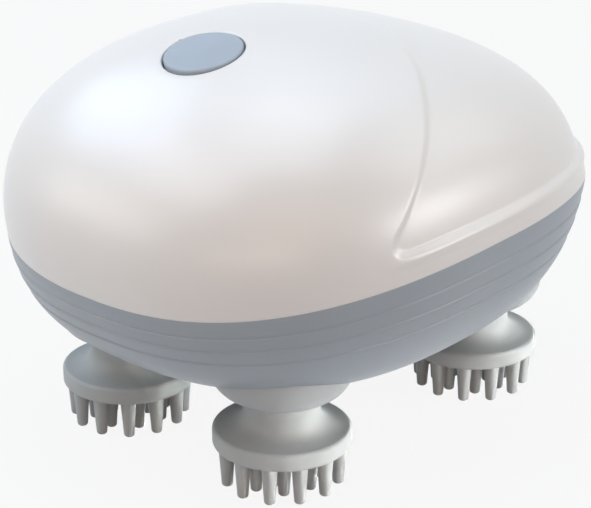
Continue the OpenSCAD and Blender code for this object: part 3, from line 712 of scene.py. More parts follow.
def punched(kit: MeshKit, surface: Surface, turns: np.ndarray, levels: np.ndarray,
            holes: Sequence[Hole]) -> tuple[np.ndarray, list[list[int]]]:
    """Adds a closed-round skin with round openings cut cleanly into it.

    The grid's quads that reach into an opening go, and the points round the gap that this leaves move
    to the opening's edge, each towards the middle of the opening.

    Args:
        kit: Mesh that gets the skin.
        surface: Function of turn and level that gives points in mm.
        turns: Angles round the skin.
        levels: Levels from the first ring to the last.
        holes: The openings.

    Returns:
        The grid of point numbers, level by turn, and one ordered ring for each opening.
    """
    count, rows = len(turns), len(levels)
    turn, level = np.meshgrid(turns, levels)
    points = surface(turn, level)
    owner = np.full((rows, count), -1)
    for k, hole in enumerate(holes):
        near = np.linalg.norm(points - surface(np.array(hole.param[0]), np.array(hole.param[1])), axis=-1)
        owner[(hole.gap(points) < EDGE_MARGIN) & (near < HOLE_REACH * hole.radius)] = k
    right = np.roll(owner, -1, axis=1)
    cut = np.stack([owner[:-1], right[:-1], right[1:], owner[1:]]).max(axis=0)
    numbers = kit.count + np.arange(rows * count).reshape(rows, count)
    edges: list[dict[int, int]] = [{} for _ in holes]
    directed: dict[tuple[int, int], int] = {}
    for i in range(rows - 1):
        for j in range(count):
            k = (j + 1) % count
            quad = (numbers[i, j], numbers[i, k], numbers[i + 1, k], numbers[i + 1, j])
            if cut[i, j] < 0:
                kit.faces.append(quad)
            else:
                for a, b in zip(quad, quad[1:] + quad[:1]):
                    directed[(a, b)] = cut[i, j]
    for (a, b), k in directed.items():
        if (b, a) not in directed and owner.flat[a - kit.count] < 0 and owner.flat[b - kit.count] < 0:
            edges[k][a] = b
    rings = []
    flat = points.reshape(-1, 3)
    for k, hole in enumerate(holes):
        start = next(iter(edges[k]))
        ring = [start]
        while edges[k][ring[-1]] != start:
            ring.append(edges[k][ring[-1]])
        base = np.array(ring) - kit.count
        turn_0, level_0 = turn.flat[base].copy(), level.flat[base].copy()
        goal_turn = hole.param[0] + np.round((turn_0 - hole.param[0]) / (2 * math.pi)) * 2 * math.pi
        low, high = np.zeros(len(ring)), np.ones(len(ring))
        for _ in range(EDGE_HALVINGS):
            middle = (low + high) / 2
            probe = surface(turn_0 + (goal_turn - turn_0) * middle,
                            level_0 + (hole.param[1] - level_0) * middle)
            outside = hole.gap(probe) > 0
            low, high = np.where(outside, middle, low), np.where(outside, high, middle)
        flat[base] = surface(turn_0 + (goal_turn - turn_0) * low, level_0 + (hole.param[1] - level_0) * low)
        rings.append([int(n) for n in ring])
    kit.add(flat)
    return numbers, rings


def rolled_wall(kit: MeshKit, ring: Sequence[int], hole: Hole, lip: float, depth: float,
                steps: int = 5) -> list[int]:
    """Rolls the edge of an opening over into a wall along its axis.

    Args:
        kit: Mesh that holds the skin.
        ring: Ordered point numbers of the opening's edge.
        hole: The opening, as wide as the outside of the roll.
        lip: Radius of the roll in mm.
        depth: How far the wall goes in along the axis, from the edge.
        steps: Rows of faces in the roll.

    Returns:
        The ring at the inner end of the wall.
    """
    edge = np.concatenate(kit.points)[list(ring)]
    offset = edge - hole.centre
    along = (offset @ hole.axis)[:, None] * hole.axis
    out = (offset - along) / np.linalg.norm(offset - along, axis=-1, keepdims=True)
    last = list(ring)
    for step in range(1, steps + 1):
        angle = QUARTER * step / steps
        fresh = edge - lip * math.sin(angle) * out - lip * (1 - math.cos(angle)) * hole.axis
        numbers = list(kit.add(fresh))
        kit.strip(last, numbers)
        last = numbers
    inner = edge - lip * out
    inner = inner - (inner @ hole.axis)[:, None] * hole.axis
    level = (edge @ hole.axis).min() - depth
    numbers = list(kit.add(inner + level * hole.axis))
    kit.strip(last, numbers)
    return numbers


def revolved(name: str, profile: Profile, finish: bpy.types.Material,
             segments: int = 128) -> bpy.types.Object:
    """Makes a turned piece about Z from its profile.

    Args:
        name: Name of the piece.
        profile: Radius and height of each point in mm, from end to end; a radius of 0 closes it.
        finish: Its material.
        segments: Points round the piece.

    Returns:
        The object.
    """
    kit = MeshKit()
    last: list[int] = []
    for radius, height in profile:
        if radius > 0:
            ring = kit.circle(radius, height, even_turns(segments))
        else:
            ring = [int(kit.add(np.array([[0.0, 0.0, height]]))[0])] * segments
        for i in range(len(last)):
            j = (i + 1) % segments
            face = list(dict.fromkeys((last[i], last[j], ring[j], ring[i])))
            if len(face) > 2:
                kit.faces.append(face)
        last = ring
    return kit.build(name, finish)


def arc(centre: Spot, radius: float, start: float, end: float, steps: int = 8) -> Profile:
    """Gives points of an arc in the profile plane.

    Args:
        centre: Its centre, as radius and height in mm.
        radius: Its radius in mm.
        start: Angle of its first point in degrees.
        end: Angle of its last point in degrees.
        steps: Number of steps.

    Returns:
        Radius and height of each point.
    """
    angles = np.radians(np.linspace(start, end, steps + 1))
    return [(centre[0] + radius * math.cos(a), centre[1] + radius * math.sin(a)) for a in angles]


# ---------------------------------------------------------------- sub-assemblies


@dataclass
class ButtonPlace:
    """Place of the power button on the crown, with its sizes in mm.

    Attributes:
        share: Its distance from the blunt end as a share of the length.
        radius: Radius of the cap.
        gap: Gap round the cap.
        rise: Height of the cap above the housing.
    """

    share: float = 0.259
    radius: float = 7.4
    gap: float = 0.35
    rise: float = 0.3

    def __post_init__(self) -> None:
        """Finds the middle and the axis on the crown."""
        x = FORM.length * (self.share - 0.5)
        low, high = 0.0, 1.0
        for _ in range(PLACE_HALVINGS):
            self.level = (low + high) / 2
            if FORM.roof(np.array(math.pi), np.array(self.level))[0] < x:
                low = self.level
            else:
                high = self.level
        self.middle = FORM.roof(np.array(math.pi), np.array(self.level))
        press = next(joint for joint in frame["joints"] if joint["name"] == "power_press")
        self.axis = np.array(press["axis"], float)

    def matrix(self) -> Matrix:
        """Returns the transform from the button's own frame, in metres."""
        tilt = math.atan2(self.axis[0], self.axis[2])
        return Matrix.Translation(Vector(self.middle) * MM) @ Matrix.Rotation(tilt, 4, "Y")


@dataclass
class Skin:
    """One face of a shell.

    Attributes:
        surface: Function of turn and level that gives its points.
        turns: Angles of its columns.
        levels: Levels of its rows.
        pole: Point that closes it.
    """

    surface: Surface
    turns: np.ndarray
    levels: np.ndarray
    pole: tuple[float, float, float]


@dataclass
class Shell:
    """What both shells share: two skins, joined at the openings and at the parting line.

    Attributes:
        around: Columns of the outer skin.
        inner_around: Columns of the inner skin.
        lip: Radius of the roll at the openings in mm.
        wall_depth: Depth of the wall below that roll in mm.
        seam_steps: How far in and how far off the edge each ring lies that closes the parting line:
            a small roll, the step for the seal and the inner face.
    """

    around: int
    inner_around: int
    lip: float
    wall_depth: float
    seam_steps: tuple[Spot, ...] = ((0.05, 0.02), (0.2, 0.12), (1.1, 0.15), (1.1, 0.6), (2.0, 0.6))

    def close_seam(self, kit: MeshKit, plain: Surface, outer: Skin, rings: Sequence[Sequence[int]],
                   way: float) -> None:
        """Closes the edge at the parting line.

        Args:
            kit: Mesh that holds both skins.
            plain: The shell's form without relief.
            outer: The outer skin.
            rings: First rings of the outer and the inner skin.
            way: 1 where the shell lies above the parting line, -1 where it lies below.
        """
        start = np.zeros(len(outer.turns))
        edge, out = plain(outer.turns, start), FORM.normal(plain, outer.turns, start)
        last = list(rings[0])
        for inset, rise in self.seam_steps:
            fresh = edge - inset * out
            fresh[:, 2] = edge[:, 2] + way * rise
            numbers = list(kit.add(fresh))
            kit.strip(last, numbers, flip=True)
            last = numbers
        middle = Hole(np.array([0.0, 0.0, FORM.seam]), UP, 0.0, (0.0, 0.0))
        kit.zip_rings(last, list(rings[1]), middle)

    def walls(self, name: str, plain: Surface, skins: tuple[Skin, Skin], holes: Sequence[Hole], way: float,
              finish: bpy.types.Material) -> bpy.types.Object:
        """Makes the shell as one closed wall.

        Args:
            name: Name of the piece.
            plain: The shell's form without relief.
            skins: The outer and the inner skin.
            holes: Its openings, as wide as the outside of their rolls.
            way: 1 where the shell lies above the parting line, -1 where it lies below.
            finish: Its material.

        Returns:
            The shell.
        """
        kit = MeshKit()
        first, edges = [], []
        for skin, openings in zip(skins, (holes, [hole.narrowed(self.lip) for hole in holes])):
            grid, rings = punched(kit, skin.surface, skin.turns, skin.levels, openings)
            kit.fan(grid[-1], skin.pole)
            first.append(grid[0])
            edges.append(rings)
        for hole, ring, inner_ring in zip(holes, *edges):
            kit.zip_rings(rolled_wall(kit, ring, hole, self.lip, self.wall_depth), inner_ring, hole)
        self.close_seam(kit, plain, skins[0], first, way)
        return kit.build(name, finish)


@dataclass
class TopShell(Shell):
    """The glossy hood with its lower-lying tail and the well of the button.

    Attributes:
        low_end: Level up to which the rows lie evenly.
        low_rows: Rows up to there.
        high_rows: Rows from there to the pole.
        crowding: How much closer the columns lie where the hood's edge crosses them.
        crowd_from: Sine of the angle at which they start to draw together.
        crowd_run: Change of the sine over which they do.
        samples: Angles at which the closeness of the columns is added up.
        inner_low: First levels of the inner skin.
        inner_start: Level from which its other rows climb to the pole.
        inner_rows: How many those are.
        place: Place of the button.
    """

    around: int = 580
    inner_around: int = 120
    lip: float = 0.35
    wall_depth: float = 1.4
    low_end: float = 0.2
    low_rows: int = 42
    high_rows: int = 114
    crowding: float = 1.4
    crowd_from: float = 0.72
    crowd_run: float = 0.16
    samples: int = 7201
    inner_low: Spot = (0.02, 0.06)
    inner_start: float = 0.1
    inner_rows: int = 48
    place: ButtonPlace = field(default_factory=ButtonPlace)

    def climb(self, start: float, rows: int) -> np.ndarray:
        """Returns levels from a start to just below the pole, even along the roof's curve."""
        angle = math.asin(start ** (1 / FORM.crown_exponent))
        return np.sin(np.linspace(angle, QUARTER, rows))[:-1] ** FORM.crown_exponent

    def columns(self) -> np.ndarray:
        """Gives the columns, close together where the hood's edge crosses them.

        Returns:
            Their angles in radians.
        """
        sweep = np.linspace(0, 2 * math.pi, self.samples)
        density = 1 + self.crowding * smooth((np.abs(np.sin(sweep)) - self.crowd_from) / self.crowd_run)
        total = np.concatenate([[0.0], np.cumsum((density[1:] + density[:-1]) / 2)])
        return np.interp(np.linspace(0, total[-1], self.around, endpoint=False), total, sweep)

    def build(self, finish: bpy.types.Material) -> bpy.types.Object:
        """Makes the shell.

        Args:
            finish: Its lacquer.

        Returns:
            The shell.
        """
        low = np.linspace(0.0, self.low_end, self.low_rows, endpoint=False)
        outer = Skin(FORM.hood, self.columns(),
                     np.concatenate([low, self.climb(self.low_end, self.high_rows)]),
                     (-FORM.shift, 0.0, FORM.crown))
        inner = Skin(FORM.roof_inside, even_turns(self.inner_around),
                     np.concatenate([self.inner_low, self.climb(self.inner_start, self.inner_rows)]),
                     (-FORM.shift, 0.0, FORM.crown - FORM.wall))
        opening = Hole(self.place.middle, self.place.axis, self.place.radius + self.place.gap + self.lip,
                       (math.pi, self.place.level))
        return self.walls("top_shell_hood", FORM.roof, (outer, inner), [opening], 1, finish)


@dataclass
class LowerShell(Shell):
    """The grey-blue band with its lapped grooves, head openings and screw wells.

    Attributes:
        opening: Radius of the openings of the boots in mm.
        well: Radius of the screw wells in mm.
        band_end: Level at which the grooved band ends.
        rows: Rows of the band, of the slope below it and of the flat underside.
        last_level: Level of the last of them.
        inner_rows: First level, last level and count of the inner skin's rows.
        heads: Places of the heads' shafts in mm.
        screws: Places of the housing screws in mm.
    """

    around: int = 540
    inner_around: int = 160
    lip: float = 0.3
    wall_depth: float = 0.5
    opening: float = 13.8
    well: float = 2.6
    band_end: float = 0.42
    rows: tuple[int, int, int] = (110, 34, 14)
    last_level: float = 0.995
    inner_rows: tuple[float, float, int] = (0.02, 0.97, 40)
    heads: tuple[Spot, ...] = ((-29.6, -20.5), (28.4, -20.5), (28.4, 20.5), (-29.6, 20.5))
    screws: tuple[Spot, ...] = ((40.0, 0.0), (-40.0, 0.0), (0.0, 36.0), (0.0, -36.0))

    def find(self, x: float, y: float) -> Spot:
        """Finds the turn and level below a place in plan, with Newton's method in short steps.

        Args:
            x: Place along the housing in mm.
            y: Place across it in mm.

        Returns:
            Turn in radians and level.
        """
        nudge, pace, steps, first_level = 1e-5, 0.7, 60, 0.8
        spot = np.array([math.atan2(y / FORM.width, x / FORM.length), first_level])
        for _ in range(steps):
            here = FORM.under(spot[0], spot[1])[:2]
            moved = [FORM.under(*(spot + way))[:2] for way in nudge * np.eye(2)]
            slopes = (np.stack(moved, axis=1) - here[:, None]) / nudge
            spot = spot + pace * np.linalg.solve(slopes, np.array([x, y]) - here)
        return float(spot[0]), float(spot[1])

    def build(self, finish: bpy.types.Material) -> bpy.types.Object:
        """Makes the shell.

        Args:
            finish: Its satin plastic.

        Returns:
            The shell.
        """
        band, slope, flat = self.rows
        levels = np.concatenate([np.linspace(0, self.band_end, band, endpoint=False),
                                 np.linspace(self.band_end, FORM.belly_end, slope, endpoint=False),
                                 np.linspace(FORM.belly_end, self.last_level, flat)])
        outer = Skin(FORM.band, even_turns(self.around), levels, (0.0, 0.0, FORM.belly))
        inner = Skin(FORM.under_inside, even_turns(self.inner_around), np.linspace(*self.inner_rows),
                     (0.0, 0.0, FORM.belly + FORM.wall))
        sorts = ((self.heads, self.opening), (self.screws, self.well))
        holes = [Hole(np.array([x, y, 0.0]), DOWN, radius + self.lip, self.find(x, y))
                 for places, radius in sorts for x, y in places]
        return self.walls("lower_shell_band", FORM.under, (outer, inner), holes, -1, finish)


@dataclass
class PowerButton:
    """The cap of the power button with its flange and stem, heights in mm from the housing's surface.

    Attributes:
        place: Place of the button.
        dome: Radius of the cap's shallow dome.
        edge: Radius of its rounded edge.
        flange: Radius of the flange that keeps it in.
        flange_top: Height of the top of the flange.
        flange_height: Height of the flange itself.
        flange_edge: Chamfer of the flange.
        hollow: Radius of the hollow below the cap.
        ceiling: Height of the top of that hollow.
        stem: Radius of the stem.
        stem_end: Height of its lower end.
    """

    place: ButtonPlace = field(default_factory=ButtonPlace)
    dome: float = 70.0
    edge: float = 0.55
    flange: float = 9.0
    flange_top: float = -3.8
    flange_height: float = 1.0
    flange_edge: float = 0.15
    hollow: float = 6.2
    ceiling: float = -1.0
    stem: float = 1.7
    stem_end: float = -6.4

    def build(self, finish: bpy.types.Material) -> bpy.types.Object:
        """Makes the cap.

        Args:
            finish: Its satin plastic.

        Returns:
            The cap, in place.
        """
        place, foot = self.place, self.flange_top - self.flange_height
        inner = place.radius - self.edge
        top = [(r, place.rise - self.dome + math.sqrt(self.dome ** 2 - r * r))
               for r in np.linspace(0, inner, 14)]
        profile = top + arc((inner, top[-1][1] - self.edge), self.edge, 90, 0)[1:]
        profile += [(place.radius, self.flange_top), (self.flange - self.flange_edge, self.flange_top),
                    (self.flange, self.flange_top - self.flange_edge), (self.flange, foot),
                    (self.hollow, foot), (self.hollow, self.ceiling), (self.stem, self.ceiling),
                    (self.stem, self.stem_end), (0.0, self.stem_end)]
        cap = revolved("power_button_cap", profile, finish)
        cap.matrix_world = place.matrix()
        return cap


@dataclass
class ShaftBoot:
    """The bowl-shaped soft boot above one head, with its sizes in mm.

    Attributes:
        radius: Outer radius.
        low: Height of its lowest point.
        wide: Height at which it is widest.
        top: Height of its upper end.
        inner: Inner radius.
        inner_low: Height of the floor inside.
        bore: Radius of the bore round the shaft.
        edge: Chamfer of the bore.
        flat: Radius of the flat round the bore.
        fullness: Exponent of the bowl, 1 for a quarter of an ellipse and less for a fuller one.
    """

    radius: float = 13.6
    low: float = 17.5
    wide: float = 24.2
    top: float = 26.4
    inner: float = 11.25
    inner_low: float = 19.25
    bore: float = 3.8
    edge: float = 0.25
    flat: float = 6.0
    fullness: float = 0.9

    def build(self, number: int, centre: Spot, finish: bpy.types.Material) -> bpy.types.Object:
        """Makes one boot.

        Args:
            number: Which head it belongs to.
            centre: Place of the shaft in mm.
            finish: Its silicone.

        Returns:
            The boot, in place.
        """
        bowl = [(self.flat + (self.radius - self.flat) * math.sin(angle) ** self.fullness,
                 self.wide - (self.wide - self.low) * math.cos(angle) ** self.fullness)
                for angle in np.linspace(0, QUARTER, 25)]
        profile = [(self.bore, self.low + self.edge), (self.bore + self.edge, self.low)] + bowl
        profile += [(self.radius, self.top), (self.inner, self.top), (self.inner, self.inner_low),
                    (self.bore, self.inner_low), (self.bore, self.low + self.edge)]
        boot = revolved(f"shaft_boot_skin_{number}", profile, finish)
        boot.location = (centre[0] * MM, centre[1] * MM, 0)
        return boot


@dataclass
class MassageHead:
    """The soft head: neck, flared disc with a rounded rim and rings of fingers, with its sizes in mm.

    Attributes:
        radius: Radius of the disc.
        rim_top: Height of the disc's upper face.
        rim: Thickness of the disc at its rim.
        lip: Radius of the rim's upper edge.
        under_edge: Radius of the rim's lower edge.
        neck: Radius of the neck.
        neck_top: Height of the neck's upper end.
        neck_edge: Chamfer of the neck.
        straight: Length of the neck above the flare.
        flare: Exponent of the flare from the disc to the neck.
        bore: Radius of the socket for the hub.
        bore_step: Depth of the first row of faces in the socket.
        bore_floor: Height of the socket's floor above the underside.
        root: Radius of a finger at the disc.
        tip: Radius of a finger at its tip.
        flat_share: Share of the tip that is flat.
        fillet: Fillet between finger and disc.
        fillet_start: Angle in radians at which the fillet starts.
        ring: Radius of the outer ring of fingers.
        ring_share: Distance between the rings, as a share of that.
        step: Fingers of the inner ring, and how many more each further ring has.
        around: Points round the disc.
        finger_around: Points round a finger.
        corner: Level at which the rounded edge of the underside ends.
        last_level: Level of the underside's last row.
    """

    radius: float = 13.0
    rim_top: float = 11.1
    rim: float = 3.5
    lip: float = 0.7
    under_edge: float = 0.7
    neck: float = 7.2
    neck_top: float = 17.2
    neck_edge: float = 0.3
    straight: float = 2.0
    flare: float = 1.4
    bore: float = 2.55
    bore_step: float = 1.4
    bore_floor: float = 1.9
    root: float = 1.55
    tip: float = 1.05
    flat_share: float = 0.45
    fillet: float = 0.12
    fillet_start: float = 0.12
    ring: float = 10.7
    ring_share: float = 0.335
    step: int = 4
    around: int = 180
    finger_around: int = 36
    corner: float = 0.06
    last_level: float = 0.97

    def __post_init__(self) -> None:
        """Works out the height of the underside and the radius of its flat."""
        self.low = self.rim_top - self.rim
        self.flat_edge = self.radius - self.under_edge

    def fingers(self, start: float) -> list[Spot]:
        """Gives the places of the fingers on the disc.

        Args:
            start: Angle of the first finger of the outer ring.

        Returns:
            X and Y of each finger in mm.
        """
        places = []
        for row in (1, 2, 3):
            reach = self.ring - (3 - row) * self.ring * self.ring_share
            first = start + (QUARTER / self.step if row == 1 else 0)
            for k in range(row * self.step):
                turn = first + 2 * math.pi * k / (row * self.step)
                places.append((reach * math.cos(turn), reach * math.sin(turn)))
        return places

    def finger_profile(self) -> Profile:
        """Gives the profile of a finger from its fillet on the disc down to the tip.

        Returns:
            Radius and height of each ring in mm.
        """
        profile = [(self.root + self.fillet * (1 - math.sin(angle)),
                    self.low - self.fillet * (1 - math.cos(angle)))
                   for angle in np.linspace(self.fillet_start, QUARTER, 6)]
        flat = self.tip * self.flat_share
        rounding = self.tip - flat
        for height in np.linspace(self.low - self.fillet, rounding, 6)[1:]:
            share = (height - rounding) / (self.low - rounding)
            profile.append((self.tip + (self.root - self.tip) * share, height))
        return profile + [(flat + rounding * math.sin(angle), rounding * (1 - math.cos(angle)))
                          for angle in np.linspace(QUARTER, 0, 8)[1:]]

    def underside(self, turn: np.ndarray, level: np.ndarray) -> np.ndarray:
        """Gives points of the disc's underside with its rounded edge.

        Args:
            turn: Angle round the disc in radians.
            level: 0 at the rim to 1 in the middle.

        Returns:
            Points with X, Y and Z in the last axis.
        """
        turn, level = np.broadcast_arrays(turn, level)
        bend = QUARTER * np.clip(1 - level / self.corner, 0, 1)
        reach = np.where(level < self.corner, self.flat_edge + self.under_edge * np.sin(bend),
                         self.flat_edge * (1 - (level - self.corner) / (1 - self.corner)))
        height = self.low + self.under_edge * (1 - np.cos(bend))
        return np.stack([reach * np.cos(turn), reach * np.sin(turn), height], -1)

    def finger(self, kit: MeshKit, hole: Hole, ring: Sequence[int]) -> None:
        """Grows one finger from its opening in the underside.

        Args:
            kit: Mesh of the head.
            hole: The opening.
            ring: Ordered point numbers of its edge.
        """
        profile, turns = self.finger_profile(), even_turns(self.finger_around)
        spot = (hole.centre[0], hole.centre[1])
        first = kit.circle(*profile[0], turns, spot)
        kit.zip_rings(ring, first, hole)
        kit.faces.append(tuple(kit.sweep(first, profile[1:], turns, spot)))

    def upper(self, kit: MeshKit, first: list[int]) -> None:
        """Adds the rim, the flare, the neck and its socket above the underside.

        Args:
            kit: Mesh of the head.
            first: Outer ring of the underside.
        """
        profile = arc((self.radius - self.lip, self.rim_top - self.lip), self.lip, 0, 90, 10)
        span, rise = self.radius - self.lip - self.neck, self.neck_top - self.rim_top - self.straight
        profile += [(self.neck + span * (1 - math.sin(angle)) ** self.flare,
                     self.rim_top + rise * (1 - math.cos(angle)))
                    for angle in np.linspace(0, QUARTER, 30)[1:]]
        profile += [(self.neck, self.neck_top - self.neck_edge), (self.neck - self.neck_edge, self.neck_top),
                    (self.bore, self.neck_top), (self.bore, self.neck_top - self.bore_step),
                    (self.bore, self.low + self.bore_floor)]
        kit.faces.append(tuple(kit.sweep(first, profile, even_turns(self.around))))

    def build(self, number: int, centre: Spot, finish: bpy.types.Material) -> bpy.types.Object:
        """Makes one head in one piece.

        Args:
            number: Which head it is.
            centre: Place of the shaft in mm.
            finish: Its silicone.

        Returns:
            The head, in place.
        """
        kit = MeshKit()
        half_pitch = math.pi / 3 / self.step
        holes = []
        for x, y in self.fingers(0.0 if centre[1] < 0 else half_pitch):
            level = self.corner + (1 - self.corner) * (1 - math.hypot(x, y) / self.flat_edge)
            holes.append(Hole(np.array([x, y, 0.0]), DOWN, self.root + self.fillet,
                              (math.atan2(y, x), level)))
        levels = np.concatenate([np.linspace(0, self.corner, 7)[:-1],
                                 np.linspace(self.corner, self.last_level, 120)])
        grid, rings = punched(kit, self.underside, even_turns(self.around), levels, holes)
        kit.fan(grid[-1], (0.0, 0.0, self.low))
        for hole, ring in zip(holes, rings):
            self.finger(kit, hole, ring)
        self.upper(kit, list(grid[0]))
        head = kit.build(f"massage_head_skin_{number}", finish)
        head.location = (centre[0] * MM, centre[1] * MM, 0)
        return head


@dataclass
class ScrewPlugs:
    """The four soft plugs in the wells of the underside, with their sizes in mm.

    Attributes:
        radius: Radius of a plug.
        top: Height of its upper end.
        recess: How deep it sits in its well.
        face: Radius and height of each ring of its lower face, the radius from the middle.
        edge: The same for its edge, the radius from the plug's own.
        around: Points round a plug.
    """

    radius: float = 2.6
    top: float = 27.0
    recess: float = 1.6
    face: tuple[Spot, ...] = ((0.5, 0.12), (0.8, 0.0))
    edge: tuple[Spot, ...] = ((-0.35, 0.0), (-0.1, 0.12), (0.0, 0.4))
    around: int = 48

    def build(self, shell: LowerShell, finish: bpy.types.Material) -> bpy.types.Object:
        """Makes all plugs as one piece.

        Args:
            shell: The shell that holds their wells.
            finish: Their elastomer.

        Returns:
            The plugs, in place.
        """
        kit = MeshKit()
        turns = even_turns(self.around)
        for spot in shell.screws:
            low = float(FORM.under(*shell.find(*spot))[2]) + self.recess
            profile = [(radius, low + rise) for radius, rise in self.face]
            profile += [(self.radius + inset, low + rise) for inset, rise in self.edge]
            profile.append((self.radius, self.top))
            first = kit.circle(*profile[0], turns, spot)
            kit.faces.append(tuple(first))
            kit.faces.append(tuple(kit.sweep(first, profile[1:], turns, spot)))
        return kit.build("screw_plug_set", finish)


# ---------------------------------------------------------------- studio


@dataclass(frozen=True)
class Lamp:
    """One soft lamp that points at the object.

    Attributes:
        name: Its name.
        angles: Azimuth from the camera and elevation in degrees.
        size: Width and height in metres.
        power: Power in watts.
        colour: sRGB hex.
        distance: Distance from what it points at, in metres.
        aim: Height of what it points at, in metres.
        spread: Opening of the beam in degrees, less than 180 where a grid narrows it.
    """

    name: str
    angles: Spot
    size: Spot
    power: float
    colour: str
    distance: float = 0.8
    aim: float = 0.04
    spread: float = 180.0


# Soft boxes above and behind, cards in front, and two gridded strips that graze the heads
LAMPS = (
    Lamp("softbox_left", (-65, 50), (0.6, 0.4), 1.5, "#FBFEFF"),
    Lamp("softbox_back_left", (-122, 44), (0.5, 0.4), 2.05, "#CBE4FF"),
    Lamp("softbox_back", (160, 62), (0.6, 0.5), 1.05, "#CDE5FF"),
    Lamp("softbox_right", (100, 40), (0.5, 0.4), 0.8, "#F8FFFF"),
    Lamp("softbox_top", (0, 89), (0.6, 0.6), 2.1, "#EBF6FF"),
    Lamp("side_left", (-80, 15), (0.6, 0.3), 0.95, "#FFFCF6"),
    Lamp("side_right", (75, 11), (0.5, 0.2), 1.7, "#FFFFFF"),
    Lamp("front_card", (10, 28), (0.6, 0.4), 0.45, "#FFCBA8"),
    Lamp("front_low_card", (-8, 6), (0.7, 0.12), 0.7, "#FFE6D8"),
    Lamp("low_strip_right", (85, 1), (0.2, 0.02), 0.015, "#FBFFFC", 0.3, 0.008, 10.0),
    Lamp("low_strip_front", (55, 1), (0.2, 0.02), 0.006, "#FFFDFA", 0.3, 0.008, 10.0),
)


